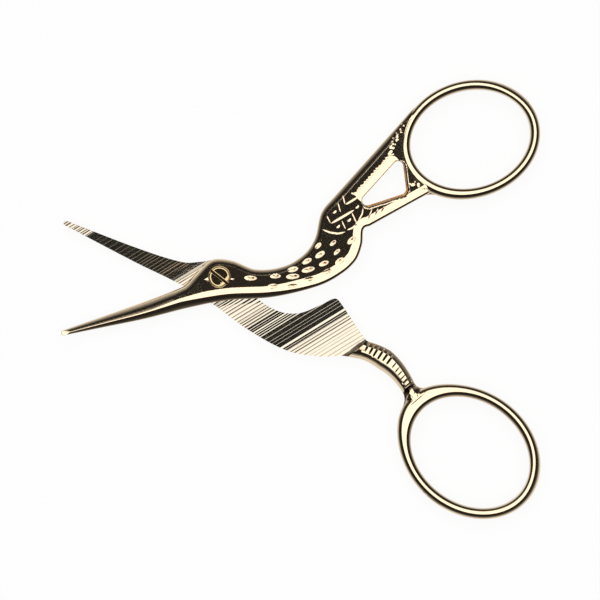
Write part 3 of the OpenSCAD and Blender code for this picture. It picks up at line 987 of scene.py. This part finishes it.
def plate(name, rim, holes, guides, through, lattices, on_ring, surfaces):
    """Mesh of a half: its plane cut into triangles, a top and an underside over them, and a wall between.

    rim and holes are closed lines with the metal on their left. guides are lines that edges follow inside
    them, and through are lines that edges follow right across them. lattices are sets of points with the
    distance that they keep from the rows. surfaces gives the heights of the top and the underside, how far
    each is ground, and the painted shade of each.
    """
    loops = [rim] + list(holes)
    edges = [Line(loop, True) for loop in loops]
    points, links, base = [], [], 0

    def depth_in(q):
        """Distance of each point from the nearest edge, more than 0 in the metal."""
        return np.min([edge.reach(q)[0] for edge in edges], 0)

    def add(p, pairs):
        """Takes points, and the pairs of them that edges join."""
        nonlocal base
        points.append(p)
        links.append(np.asarray(pairs, int).reshape(-1, 2) + base)
        base += len(p)

    def add_line(p, keep, closed):
        """Takes the points of a line that are kept, joined where neighbours on it are."""
        number = np.cumsum(keep) - 1
        both = keep & np.roll(keep, -1)
        both[-1] &= closed
        add(p[keep], np.stack([number[both], np.roll(number, -1)[both]], 1))

    for loop in loops:
        add_line(loop, np.ones(len(loop), bool), True)
        left = left_of(loop, True)
        for d in ROWS[1:]:
            row = loop + left * d
            add_line(row, depth_in(row) > d * 0.97, True)
    for guide in guides:
        add_line(guide, depth_in(guide) > GUIDE_CLEAR, False)
    for guide in through:
        first = np.flatnonzero(np.hypot(*np.diff(guide, axis=0).T) < 0.5)
        add(guide, np.stack([first, first + 1], 1))
    tree = point_tree(np.vstack(points))
    for lattice, clear in lattices:
        q = lattice[(depth_in(lattice) > ROWS[-1] + clear * 0.7) & inside(rim, lattice)]
        q = q[~on_ring(q)]
        far = np.array([tree.find((x, y, 0))[2] > clear for x, y in q], bool)
        add(q[far], [])
    flat = np.vstack(points)
    pairs = np.vstack(links)
    verts, _, faces, _, _, _ = delaunay_2d_cdt(
        [Vector(p) for p in flat], [tuple(map(int, e)) for e in pairs], [], 0, MERGED, False
    )
    v = np.array([tuple(p) for p in verts])
    f = np.array([tuple(t) for t in faces])
    middle = v[f].mean(1)
    keep = inside(rim, middle)
    for hole in holes:
        keep &= ~inside(hole, middle)
    f = f[keep]
    used = np.unique(f)
    number = np.full(len(v), -1)
    number[used] = np.arange(len(used))
    v, f = v[used], number[f]
    top, low, top_finish, low_finish, shade_top, shade_low = surfaces(v)
    n = len(v)
    e = np.vstack([f[:, [0, 1]], f[:, [1, 2]], f[:, [2, 0]]])
    key = e[:, 0] * n + e[:, 1]
    back = e[:, 1] * n + e[:, 0]
    border = e[~np.isin(key, back)]
    walls = np.stack([border[:, 0], border[:, 0] + n, border[:, 1] + n, border[:, 1]], 1)
    mesh = bpy.data.meshes.new(name)
    xyz = np.vstack([np.c_[v, top], np.c_[v, low]])
    mesh.from_pydata(xyz.tolist(), [], f.tolist() + (f[:, ::-1] + n).tolist() + walls.tolist())
    fin = np.r_[top_finish[f].min(1) > 0.5, low_finish[f].min(1) > 0.5, np.zeros(len(walls), bool)]
    mesh.polygons.foreach_set("material_index", fin.astype(np.int32))
    # The painted shade of the cuts and lines, kept as a point attribute that the finish reads
    shade = mesh.attributes.new("painted_shade", "FLOAT", "POINT")
    shade.data.foreach_set("value", np.r_[shade_top, shade_low].astype(np.float32))
    return mesh


def values_of(items, name, kind=np.float32, width=1):
    """One value of all items of a mesh, with a row for each item where the value has a width."""
    out = np.zeros(len(items) * width, kind)
    items.foreach_get(name, out)
    return out.reshape(-1, width) if width > 1 else out


def crisp(mesh, degrees):
    """Marks the edges whose faces meet at more than so many degrees, and every ground face, as sharp."""
    faces = mesh.polygons
    normals = values_of(faces, "normal", width=3)
    faces.foreach_set("use_smooth", values_of(faces, "material_index", np.int32) == 0)
    loops = values_of(mesh.loops, "edge_index", np.int32)
    face = np.repeat(np.arange(len(faces)), values_of(faces, "loop_total", np.int32))
    order = np.argsort(loops, kind="stable")
    edge, face = loops[order], face[order]
    pair = np.flatnonzero(edge[:-1] == edge[1:])
    level = (normals[face[pair]] * normals[face[pair + 1]]).sum(1)
    sharp = np.zeros(len(mesh.edges), bool)
    sharp[edge[pair]] = level < math.cos(math.radians(degrees))
    mesh.attributes.new("sharp_edge", "BOOLEAN", "EDGE").data.foreach_set("value", sharp)


def paint_side_shade(mesh):
    """Adds painted shade on the steep sides to the painted shade of the cuts."""
    level = np.abs(values_of(mesh.vertex_normals, "vector", width=3)[:, 2])
    data = mesh.attributes["painted_shade"].data
    shade = np.clip(values_of(data, "value"), 0, 1)
    # Painted shade: the steeper a face, the more of the dark colour it gets
    side = np.clip((SIDE_FROM - level) / SIDE_SPAN, 0, 1)
    shade = np.maximum(shade, SIDE_SHADE * side * side * (3 - 2 * side))
    data.foreach_set("value", shade.astype(np.float32))


def place_piece(mesh, name, degrees, body, node, materials):
    """Makes an object of a mesh, turned to its open place, gives it its body and finish, and hides the packed
    solid of its node.
    """
    co = values_of(mesh.vertices, "co", float, 3)
    co[:, :2] = turned(co[:, :2], degrees)
    mesh.vertices.foreach_set("co", (co * MM).ravel())
    mesh.update()
    paint_side_shade(mesh)
    crisp(mesh, CRISP_FROM)
    for material in materials:
        mesh.materials.append(material)
    obj = bpy.data.objects.new(name, mesh)
    bpy.context.scene.collection.objects.link(obj)
    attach(obj, body)
    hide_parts(node)


def circle(radius, step=GUIDE_STEP):
    """A closed circle about the screw."""
    count = max(int(round(2 * math.pi * radius / step)), 24)
    a = np.arange(count) * 2 * math.pi / count
    return np.stack([radius * np.cos(a), radius * np.sin(a)], 1)


def ring_around(radius):
    """A circle whose last point repeats its first, for a guide."""
    c = circle(radius)
    return np.vstack([c, c[:1]])


def step_line(a, b, gap):
    """A step's line, moved to the right of the way from a to b."""
    a, b = np.array(a, float), np.array(b, float)
    run = unit(b - a)
    move = np.array([run[1], -run[0]]) * gap
    return a + move, b + move


def beyond(q, a, b):
    """Distance of each point to the right of the way from a to b."""
    run = unit(b - a)
    return run[1] * (q[:, 0] - a[0]) - run[0] * (q[:, 1] - a[1])


def step_guides(a, b):
    """Lines along the foot and the top of a step."""
    run = unit(b - a)
    right = np.array([run[1], -run[0]])
    t = np.arange(-6, 16, GUIDE_STEP)[:, None]
    return [a + run * t + right * d for d in STEP_ROWS]


def crease_guides(line, table, side):
    """Lines along a flank, on the line's left where side is 1 and on its right where it is -1."""
    p = evenly(line, GUIDE_STEP)
    left = left_of(p)
    width, _, _, plane, _ = flank_values(table, p[:, 0])
    rows = [width * k for k in FLANK_SHARES]
    if plane.max() > 0:
        rows.append(width + plane)
    return [p + side * left * d[:, None] for d in rows]


def joined_drop(*drops):
    """Several flanks' drops together, with a soft mitre where they meet."""
    return sum(np.clip(d, 0, None) ** 3 for d in drops) ** (1 / 3)


def leg_region(upper, lower, ring, low_a, up_a):
    """The closed line round a body and its legs, which ends inside the ring's wire."""
    a = np.linspace(low_a, up_a, 40)
    loop = np.vstack([lower, oval(ring, np.full(40, -0.3), a), upper[::-1]])
    return Line(evenly(loop, 0.15, True), True)


def out_of(region, q):
    """Distance of each point from a closed line, 0 inside it."""
    return np.where(inside(region.p, q), 0, np.abs(region.reach(q)[0]))


def blank_height(q, ring, leg, rims, corners):
    """Half the thickness of a half with its ring, and each point's distance from the nearest edge.

    The corners between the leg and the ring have metal up to the outline."""
    wire, _, _ = ring_height(ring, q)
    d_rim = np.min([np.abs(edge.reach(q)[0]) for edge in rims], 0)
    far = np.min([np.hypot(*(q - corner).T) for corner in corners], 0)
    web = WEB_T - flank_drop(d_rim, *WEB_FLANK) - WEB_FALL * np.clip(far - WEB_REACH, 0, None)
    return higher(higher(leg, wire, 0.1), web, 0.05), d_rim


def edge_drop(q, edge, table, side):
    """How far a flank lies under the flat top; side is 1 where the metal is on its edge's left, else -1."""
    d, foot = edge.reach(q)
    return flank_drop(side * d, *flank_values(table, foot[:, 0]))


def rungs():
    """Cuts across the back half's leg, open towards its upper edge and shorter towards the ring."""
    cuts = []
    for i, at in enumerate(RUNGS):
        way = heading(82 - i * 2)
        half = 0.74 if i < 6 else 0.5
        past, width = (0.35, 0.42) if i < 6 or i > 9 else (-0.1, 0.26)
        ends = np.array(at) - way * half, np.array(at) + way * (half + past)
        cuts.append(Stroke(ends, width, *RUNG_CUT))
    return cuts


def front_mesh(sizes):
    """Mesh of the front half."""
    upper, lower = front_lines()
    rim, corners = joined_outline(upper, lower, FRONT_RING)
    tip = [(-BLADE_LEN, BEAK_Y), (-BLADE_LEN, BEAK_Y - TIP_W)]
    rim = softened(rim, corners, 1.1, 60)
    rim = softened(rim, tip + [TAIL, WING], 0.3, 4)
    hole = ring_hole(FRONT_RING)
    window = window_loop()
    bore = circle(SHANK_R + 0.04)[::-1]
    up_edge, low_edge = Line(upper), Line(lower)
    window_edge = Line(window, True)
    up_table = blade_flank(upper, lower, UPPER_FLANK)
    rims = [Line(loop, True) for loop in (rim, hole, window)]
    region = leg_region(upper, lower, FRONT_RING, 222.0, 123.0)
    b, a = step_line(BACK_CORNER, BACK_HEEL, -STEP_GAP)
    side_start, side_way, side_length, side_out = window_sides()
    wheel = Grinding(FRONT_LINES, FRONT_GRINDING, 3)
    strokes = wing_strokes(sizes, True) + nicks()
    marks = specks()

    def on_ring(q):
        """Whether each point is on the ring's wire, which has its own lines of points."""
        _, across, _ = ring_height(FRONT_RING, q)
        return (np.abs(across) < 0.95) & (q[:, 0] > FRONT_HOLE_X - 3)

    def opening_drop(q):
        """Drop beside the opening: a plane at its upper left side, and a bevel that widens round it."""
        d, foot = window_edge.reach(q)
        facing = ((q - foot) @ side_out) / np.maximum(np.abs(d), 1e-6)
        t = (q - side_start) @ side_way
        side = np.clip((facing - 0.6) / 0.3, 0, 1) * np.clip((t + 0.8) / 0.6, 0, 1)
        side = side * np.clip((side_length + 0.9 - t) / 0.6, 0, 1)
        bevel = WINDOW_BEVEL * np.clip((0.3 - facing) / 1.3, 0, 1)
        return flank_drop(d, WINDOW_EDGE + bevel, *WINDOW_FLANK, WINDOW_PLANE, WINDOW_SLOPE * side)

    def surfaces(q):
        """Heights, ground shares and painted shade of the top and the underside."""
        flanks = edge_drop(q, up_edge, up_table, -1), edge_drop(q, low_edge, LOWER_FLANK, 1)
        drops = joined_drop(*flanks, opening_drop(q))
        leg = half_height(q[:, 0]) - drops - LEG_FALL * out_of(region, q)
        blank, d_rim = blank_height(q, FRONT_RING, leg, rims, corners)
        blank = np.minimum(blank, BEAK_END[0] + slope(BEAK_END[1]) * (q[:, 0] + BLADE_LEN))
        blank = np.maximum(blank - blunted(d_rim, OUTER_BLUNT), THINNEST)
        cut, feather_shade = outer_relief(q, sizes, strokes, marks)
        cut = np.minimum(cut, np.clip(blank - LEFT_UNDER_CUTS, 0, None))
        top = MID_Z + blank - cut
        top = np.where(np.hypot(*q.T) < SEAT_R + 0.004, SEAT_Z, top)
        d_step = beyond(q, a, b)
        ramp = FRONT_FACE_Z - np.clip(d_step, 0, None) / math.tan(math.radians(STEP_LEAN))
        ground = np.clip(1 - d_step * FACE_END, 0, 1)
        under = MID_Z - blank + blunted(d_rim, INNER_BLUNT) * (1 - ground)
        low = np.maximum(under, ramp + wheel.depth(q) * ground)
        low = np.minimum(low, top - FRONT_EDGE_T)
        # Painted shade in the walls of the grinding lines on the underside
        line_shade = LINE_SHADE * wheel.wall(q) * ground * (d_rim > 0.005)
        return top, low, np.zeros(len(q)), ground, feather_shade, line_shade

    guides = crease_guides(upper, up_table, -1) + crease_guides(lower, LOWER_FLANK, 1)
    guides += step_guides(a, b) + wire_lines(FRONT_RING) + feather_lines(sizes.feather_slope)
    guides += [window + left_of(window, True) * d for d in WINDOW_ROWS]
    along = side_way * np.arange(-1, 7.6, GUIDE_STEP)[:, None]
    guides += [side_start + along + side_out * (WINDOW_EDGE + WINDOW_PLANE)]
    for stroke in strokes:
        guides += stroke.lines()
    guides += [ring_around(SEAT_R), ring_around(SEAT_R + 0.02), ring_around(SEAT_R + 0.1)]
    through = wheel.lines(rim, lambda q: (beyond(q, a, b) < -0.02) & (q[:, 0] < 26))
    fine = hex_points((2.6, -8), (38.2, 16), FINE)
    fine = fine[out_of(region, fine) < 0.5]
    coarse = hex_points((-29, -8), (2.6, 5), 0.22)
    return plate(
        "front_half_gilt", rim, [hole, window, bore], guides, through,
        [(fine, FINE * 0.6), (coarse, 0.12)], on_ring, surfaces,
    )


def back_mesh(sizes):
    """Mesh of the back half."""
    upper, lower, middle = back_lines()
    rim, corners = joined_outline(upper, lower, BACK_RING)
    tip = [(TIP_STEP - BLADE_LEN, BEAK_Y), (TIP_STEP - BLADE_LEN, BEAK_Y - TIP_W)]
    rim = softened(rim, corners, 1.3, 60)
    rim = softened(rim, tip + [BACK_HEEL], 0.3, 4)
    hole = ring_hole(BACK_RING)
    bore = circle(SHANK_R + 0.01)[::-1]
    up_edge, low_edge, mid_edge = Line(upper), Line(lower), Line(middle)
    rims = [Line(loop, True) for loop in (rim, hole)]
    region = leg_region(upper, lower, BACK_RING, 190.0, 160.0)
    tail_low = np.array([mix(BELLY_X, TAIL[0], 0.72), -FRONT_BELLY * 0.73])
    a, b = step_line(tail_low, TAIL, STEP_GAP + TAIL[0] * 0.018)
    up_table = tuple(r for r in blade_flank(upper, lower, UPPER_FLANK) if r[0] < 20) + BACK_UP_FLANK
    low_table = tuple(r for r in LOWER_FLANK if r[0] < 20) + BACK_LOW_FLANK
    wheel = Grinding(BACK_LINES, BACK_GRINDING, 5)
    outer = wing_strokes(sizes, False)
    corner_cut = Stroke(COLLAR_LINE, *COLLAR_CUT)
    leg_cuts = rungs() + [Stroke(RING_LINE, *RING_LINE_CUT), corner_cut]

    def on_ring(q):
        """Whether each point is on the ring's wire, which has its own lines of points."""
        _, across, a_ring = ring_height(BACK_RING, q)
        band = BACK_RING["wire"] + 0.05
        return (across > -band) & (across < band + collar(BACK_RING, a_ring)) & (q[:, 0] > 36)

    def surfaces(q):
        """Heights, ground shares and painted shade of the top and the underside."""
        drops = joined_drop(edge_drop(q, up_edge, up_table, -1), edge_drop(q, low_edge, low_table, 1))
        across, _ = mid_edge.reach(q)
        d_step = beyond(q, a, b)
        on_leg = np.clip(d_step / 0.5, 0, 1)
        tilt = slope(sizes.leg_slope) * np.clip(across + 0.9, 0, None) * on_leg
        leg = half_height(q[:, 0]) - drops - LEG_FALL * out_of(region, q) - tilt
        blank, d_rim = blank_height(q, BACK_RING, leg, rims, corners)
        blank = np.maximum(blank - blunted(d_rim, OUTER_BLUNT), THINNEST)
        room = np.clip(blank - LEFT_UNDER_CUTS, 0, None)
        leg_cut = np.minimum(np.max([stroke.cut(q) for stroke in leg_cuts], 0), room)
        ramp = BACK_FACE_Z + np.clip(d_step, 0, None) / math.tan(math.radians(STEP_LEAN))
        ground = np.clip(1 - d_step * FACE_END, 0, 1)
        top = np.minimum(MID_Z + blank - leg_cut, ramp - wheel.depth(q) * ground)
        cut, feather_shade = outer_relief(q, sizes, outer, [])
        cut = cut * np.clip(-d_step, 0, 1)
        cut = np.minimum(np.maximum(cut, leg_cut), room)
        low = np.minimum(MID_Z - blank + cut, top - BACK_EDGE_T)
        # Painted shade: in the grinding lines, in the rungs, in the collar's groove and over the step's wall
        line_shade = wheel.wall(q) * np.clip(wheel.depth(q) / LINE_DEEP, LEAST_LINE_SHADE, 1)
        shade = np.where(ground > 0, line_shade, RUNG_SHADE * (leg_cut / RUNG_DEEP) ** 2)
        shade = np.maximum(shade, np.clip(corner_cut.cut(q) / COLLAR_DEEP, 0, 1))
        shade = np.maximum(shade, (d_step > STEP_SHADE[0]) & (d_step < STEP_SHADE[1])) * (d_rim > 0.005)
        return top, low, ground, np.zeros(len(q)), shade, feather_shade

    guides = crease_guides(upper, up_table, -1) + crease_guides(lower, low_table, 1)
    guides += step_guides(a, b) + wire_lines(BACK_RING) + feather_lines(sizes.feather_slope)
    for stroke in outer + leg_cuts:
        guides += stroke.lines()
    through = wheel.lines(rim, lambda q: (beyond(q, a, b) < -0.02) & (q[:, 0] < 32))
    body = hex_points((-29, -10), (27, 4), 0.3)
    body = body[beyond(body, a, b) < -0.15]
    leg = hex_points((20.0, -14), (39, 0), FINE)
    leg = leg[beyond(leg, a, b) > 0.75]
    return plate(
        "back_half_gilt", rim, [hole, bore], guides, through,
        [(body, 0.12), (leg, FINE * 0.6)], on_ring, surfaces,
    )


def screw_mesh():
    """Mesh of the screw: a flat head with a bright chamfer and a slot, and its shank."""
    way = heading(SLOT_ANGLE)
    side = np.array((-way[1], way[0]))
    worn = np.array(HEAD_WORN)
    flat_r, half_slot = HEAD_R - CHAMFER_W, SLOT_W / 2

    def surfaces(q):
        """Heights of the top and the underside; nothing is ground or gets painted shade."""
        r = np.hypot(*q.T)
        v = q @ side
        top = HEAD_TOP - 0.01 * (r / HEAD_R) ** 2
        for start, width, fall in HEAD_CHAMFER:
            top = top - slope(fall) * np.clip(r - flat_r - start, 0, width)
        top = top - 0.13 * np.clip(q @ worn - 0.5, 0, None) ** 2
        top = top - slope(17) * np.clip(half_slot + SLOT_LIP - np.abs(v), 0, SLOT_LIP)
        floor = SLOT_FLOOR + 0.24 * np.clip(v - 0.2, 0, None)
        top = np.where(np.abs(v) < half_slot - 0.005, floor, top) - blunted(HEAD_R - r, 0.03)
        low = np.where(r < SHANK_R - 0.004, 0.0, HEAD_LOW)
        return top, low, *np.zeros((4, len(q)))

    t = np.arange(-2.2, 2.21, 0.1)[:, None]
    across = (0.2, half_slot - 0.015, half_slot, half_slot + SLOT_LIP)
    guides = [way * t + side * d * k for d in across for k in (-1, 1)]
    guides += [ring_around(r) for r in (SHANK_R, SHANK_R - 0.01)]
    guides += [ring_around(flat_r + start) for start, _, _ in HEAD_CHAMFER]
    fine = hex_points((-1.9, -1.9), (1.9, 1.9), 0.12)
    return plate(
        "pivot_screw_gilt", circle(HEAD_R, 0.08), [], guides, [],
        [(fine, 0.06)], lambda q: np.zeros(len(q), bool), surfaces,
    )


def add_node(tree, kind, values=(), **settings):
    """A new shader node with its settings and the values of its inputs."""
    node = tree.nodes.new("ShaderNode" + kind)
    for name, value in settings.items():
        setattr(node, name, value)
    for name, value in dict(values).items():
        node.inputs[name].default_value = value
    return node


def wire_up(tree, *wires):
    """Joins outputs to inputs: each wire is a node, its output, a node and its input."""
    for a, out, b, into in wires:
        tree.links.new(a.outputs[out], b.inputs[into])


def gilt(name, colour, shade, roughness, streaks=None):
    """A gilt finish: slow and fine changes of colour and polish, with painted shade mixed in from a point
    attribute.

    streaks is the way in degrees that grinding draws it out, or None where it is polished."""
    mat = bpy.data.materials.new(name)
    mat.use_nodes = True
    tree = mat.node_tree
    shader = tree.nodes["Principled BSDF"]
    shader.inputs["Metallic"].default_value = 1.0
    drawn = {}
    grain, strength, distance = POLISHED_GRAIN
    if streaks is not None:
        drawn = {"Rotation": (0, 0, -math.radians(streaks)), "Scale": STREAK_SCALE}
        grain, strength, distance = GROUND_GRAIN
    place = add_node(tree, "TexCoord")
    aim = add_node(tree, "Mapping", drawn)
    slow = add_node(tree, "TexNoise", {"Scale": TINT_GRAIN, "Detail": 3.0})
    fine = add_node(tree, "TexNoise", {"Scale": grain, "Detail": 4.0})
    # The slow tint darkens at random a little towards the shade colour, as tone of the gilding
    shades = {"A": (*colour, 1), "B": (*mix(colour, shade, 0.16), 1)}
    tint = add_node(tree, "Mix", shades, data_type="RGBA")
    painted_shade = add_node(tree, "Attribute", attribute_name="painted_shade")
    # Painted shade: the attribute mixes the dark colour into the base colour
    dark = add_node(tree, "Mix", {"B": (*shade, 1)}, data_type="RGBA")
    spread = {"From Min": 0.3, "From Max": 0.7, "To Min": roughness * 0.75, "To Max": roughness * 1.35}
    polish = add_node(tree, "MapRange", spread)
    bump = add_node(tree, "Bump", {"Strength": strength, "Distance": distance})
    wire_up(
        tree,
        (place, "Object", aim, "Vector"),
        (aim, "Vector", slow, "Vector"),
        (aim, "Vector", fine, "Vector"),
        (slow, "Fac", tint, "Factor"),
        (painted_shade, "Fac", dark, "Factor"),
        (tint, "Result", dark, "A"),
        (dark, "Result", shader, "Base Color"),
        (fine, "Fac", polish, "Value"),
        (polish, "Result", shader, "Roughness"),
        (fine, "Fac", bump, "Height"),
        (bump, "Normal", shader, "Normal"),
    )
    return mat


def finishes(name, colours, streaks):
    """The polished gilding of a half and the duller one of its ground face."""
    return [
        gilt(name, colours.gilt, colours.shade, GILT_ROUGHNESS),
        # The ground face's painted shade, in its grinding lines, takes the ground line colour
        gilt(name + " ground", colours.ground, colours.line, GROUND_ROUGHNESS, streaks),
    ]


def colour_property(name, description, default):
    """A property that holds a colour."""
    return FloatVectorProperty(
        name=name, description=description, subtype="COLOR", size=3, default=default
    )


class StorkSizes(bpy.types.PropertyGroup):
    """Slopes of the forms that a user may change."""

    feather_slope: FloatProperty(
        name="Feather slope", description="Fall of a feather, in degrees", default=9.0
    )
    line_slope: FloatProperty(
        name="Line slope", description="Rise over run of the broad wall of a cut line", default=0.21
    )
    leg_slope: FloatProperty(
        name="Leg slope", description="Slope of the back leg's top, in degrees", default=8.0
    )


class StorkColours(bpy.types.PropertyGroup):
    """Colours of the metal and of the studio."""

    gilt: colour_property("Gilt", "Polished gilding", (0.88, 0.7, 0.48))
    ground: colour_property("Ground face", "Gilding over the ground faces", (0.66, 0.6, 0.48))
    screw: colour_property("Screw", "Gilding of the screw", (0.66, 0.5, 0.27))
    # Colour of the painted shade in the cuts and on the steep sides
    shade: colour_property("Shade", "Shading in the cuts", (0.05, 0.03, 0.018))
    # Colour of the painted shade in the walls of the grinding lines
    line: colour_property("Ground line", "Lines across the ground faces", (0.15, 0.085, 0.045))
    floor: colour_property("Floor", "Floor under the scissors", (0.96, 0.96, 0.96))


class STORK_OT_front_half(bpy.types.Operator):
    """Makes the front half, with its feathers, wing, opening and finger ring"""

    bl_idname = "stork.front_half"
    bl_label = "Front half"

    def execute(self, context):
        scene = context.scene
        finish = finishes("Gilt front", scene.stork_colours, HALF_OPEN + FRONT_LINES)
        mesh = front_mesh(scene.stork_sizes)
        place_piece(mesh, "front_half_gilt", HALF_OPEN, "front_body", "front_half", finish)
        return {"FINISHED"}


class STORK_OT_back_half(bpy.types.Operator):
    """Makes the back half, with its ground face, step, leg and finger ring"""

    bl_idname = "stork.back_half"
    bl_label = "Back half"

    def execute(self, context):
        scene = context.scene
        finish = finishes("Gilt back", scene.stork_colours, BACK_LINES - HALF_OPEN)
        mesh = back_mesh(scene.stork_sizes)
        place_piece(mesh, "back_half_gilt", -HALF_OPEN, "back_body", "back_half", finish)
        return {"FINISHED"}


class STORK_OT_pivot_screw(bpy.types.Operator):
    """Makes the slotted screw"""

    bl_idname = "stork.pivot_screw"
    bl_label = "Pivot screw"

    def execute(self, context):
        colours = context.scene.stork_colours
        finish = [gilt("Gilt screw", colours.screw, colours.shade, SCREW_ROUGHNESS)]
        place_piece(screw_mesh(), "pivot_screw_gilt", 0.0, "back_body", "pivot_screw", finish)
        return {"FINISHED"}


def soft_world():
    """Studio light: one broad soft box overhead with the camera's dark round in it, and a glow low down."""
    world = bpy.data.worlds.new("Studio")
    world.use_nodes = True
    tree = world.node_tree
    back = tree.nodes["Background"]
    back.inputs["Color"].default_value = (1, 1, 1, 1)
    place = add_node(tree, "TexCoord")

    def cap(toward, inner, outer):
        """1 within an angle of a direction, 0 outside a wider one."""
        dot = add_node(tree, "VectorMath", {1: Vector(toward).normalized()}, operation="DOT_PRODUCT")
        limits = {"From Min": math.cos(math.radians(outer)), "From Max": math.cos(math.radians(inner))}
        edge = add_node(tree, "MapRange", limits, interpolation_type="SMOOTHSTEP")
        wire_up(tree, (place, "Generated", dot, 0), (dot, "Value", edge, "Value"))
        return edge

    def joined(a, b, operation):
        """Two nodes or numbers put together by one operation."""
        node = add_node(tree, "Math", operation=operation)
        for i, x in enumerate((a, b)):
            if isinstance(x, float):
                node.inputs[i].default_value = x
            else:
                wire_up(tree, (x, 0, node, i))
        return node

    camera = joined(1.0, cap((0.0, 0.0, 1.0), *CAMERA_CAP), "SUBTRACT")
    box = joined(joined(cap(BOX_TOWARD, *BOX_CAP), camera, "MULTIPLY"), BOX_STRENGTH, "MULTIPLY")
    height = add_node(tree, "SeparateXYZ")
    limits = {"From Min": GLOW_TOP, "From Max": 0.0, "To Max": GLOW_STRENGTH}
    glow = add_node(tree, "MapRange", limits, interpolation_type="SMOOTHSTEP")
    wire_up(tree, (place, "Generated", height, "Vector"), (height, "Z", glow, "Value"))
    level = joined(joined(box, glow, "ADD"), AMBIENT, "ADD")
    wire_up(tree, (level, 0, back, "Strength"))
    return world


def lift_floor(tree, shader):
    """Mixes white into what the camera and the metal see of the floor, so that its shadow stays faint."""
    path = add_node(tree, "LightPath")
    seen, out = path, "Is Camera Ray"
    for ray in ("Is Glossy Ray", "Is Transmission Ray"):
        either = add_node(tree, "Math", operation="MAXIMUM")
        wire_up(tree, (seen, out, either, 0), (path, ray, either, 1))
        seen, out = either, 0
    share = add_node(tree, "Math", {1: FLOOR_LIFT}, operation="MULTIPLY")
    white = add_node(tree, "Emission")
    blend = add_node(tree, "MixShader")
    wire_up(
        tree,
        (seen, out, share, 0),
        (share, 0, blend, 0),
        (shader, "BSDF", blend, 1),
        (white, "Emission", blend, 2),
        (blend, "Shader", tree.nodes["Material Output"], "Surface"),
    )


def floor_object(colour):
    """The plain floor, just under the scissors."""
    mesh = bpy.data.meshes.new("Floor")
    corners = [(x * FLOOR_HALF, y * FLOOR_HALF, FLOOR_Z) for x, y in ((-1, -1), (1, -1), (1, 1), (-1, 1))]
    mesh.from_pydata(corners, [], [(0, 1, 2, 3)])
    mat = bpy.data.materials.new("Floor")
    mat.use_nodes = True
    shader = mat.node_tree.nodes["Principled BSDF"]
    shader.inputs["Base Color"].default_value = (*colour, 1)
    shader.inputs["Roughness"].default_value = 0.9
    shader.inputs["Specular IOR Level"].default_value = 0.0
    lift_floor(mat.node_tree, shader)
    mesh.materials.append(mat)
    return bpy.data.objects.new("Floor", mesh)


def camera_object():
    """The camera, straight over the scissors."""
    data = bpy.data.cameras.new("Camera")
    data.lens = LENS
    data.sensor_width = SENSOR_WIDTH
    camera = bpy.data.objects.new("Camera", data)
    camera.location = CAMERA_AT
    return camera


class STORK_OT_stage(bpy.types.Operator):
    """Makes the floor, the studio light and the camera"""

    bl_idname = "stork.stage"
    bl_label = "Stage"

    def execute(self, context):
        scene = context.scene
        floor = floor_object(scene.stork_colours.floor)
        scene.collection.objects.link(floor)
        scene.world = soft_world()
        scene.camera = camera_object()
        scene.collection.objects.link(scene.camera)
        scene.view_settings.view_transform = "Standard"
        return {"FINISHED"}


class STORK_PT_panel(bpy.types.Panel):
    """Lists the scissors' operators and values"""

    bl_idname = "STORK_PT_panel"
    bl_label = "Stork scissors"
    bl_space_type = "VIEW_3D"
    bl_region_type = "UI"
    bl_category = "Scissors"

    def draw(self, context):
        layout = self.layout
        for operator in OPERATORS:
            layout.operator(operator.bl_idname)
        for group in (context.scene.stork_sizes, context.scene.stork_colours):
            for name in group.__annotations__:
                layout.prop(group, name)


OPERATORS = (STORK_OT_stage, STORK_OT_front_half, STORK_OT_back_half, STORK_OT_pivot_screw)
CLASSES = (StorkSizes, StorkColours, *OPERATORS, STORK_PT_panel)


def register():
    """Registers the classes and the values of the scene."""
    for cls in CLASSES:
        bpy.utils.register_class(cls)
    bpy.types.Scene.stork_sizes = PointerProperty(type=StorkSizes)
    bpy.types.Scene.stork_colours = PointerProperty(type=StorkColours)


def unregister():
    """Takes back what register does."""
    del bpy.types.Scene.stork_colours
    del bpy.types.Scene.stork_sizes
    for cls in reversed(CLASSES):
        bpy.utils.unregister_class(cls)


def main():
    """Builds the scissors."""
    register()
    bpy.ops.stork.stage()
    bpy.ops.stork.front_half()
    bpy.ops.stork.back_half()
    bpy.ops.stork.pivot_screw()


if __name__ == "__main__":
    main()
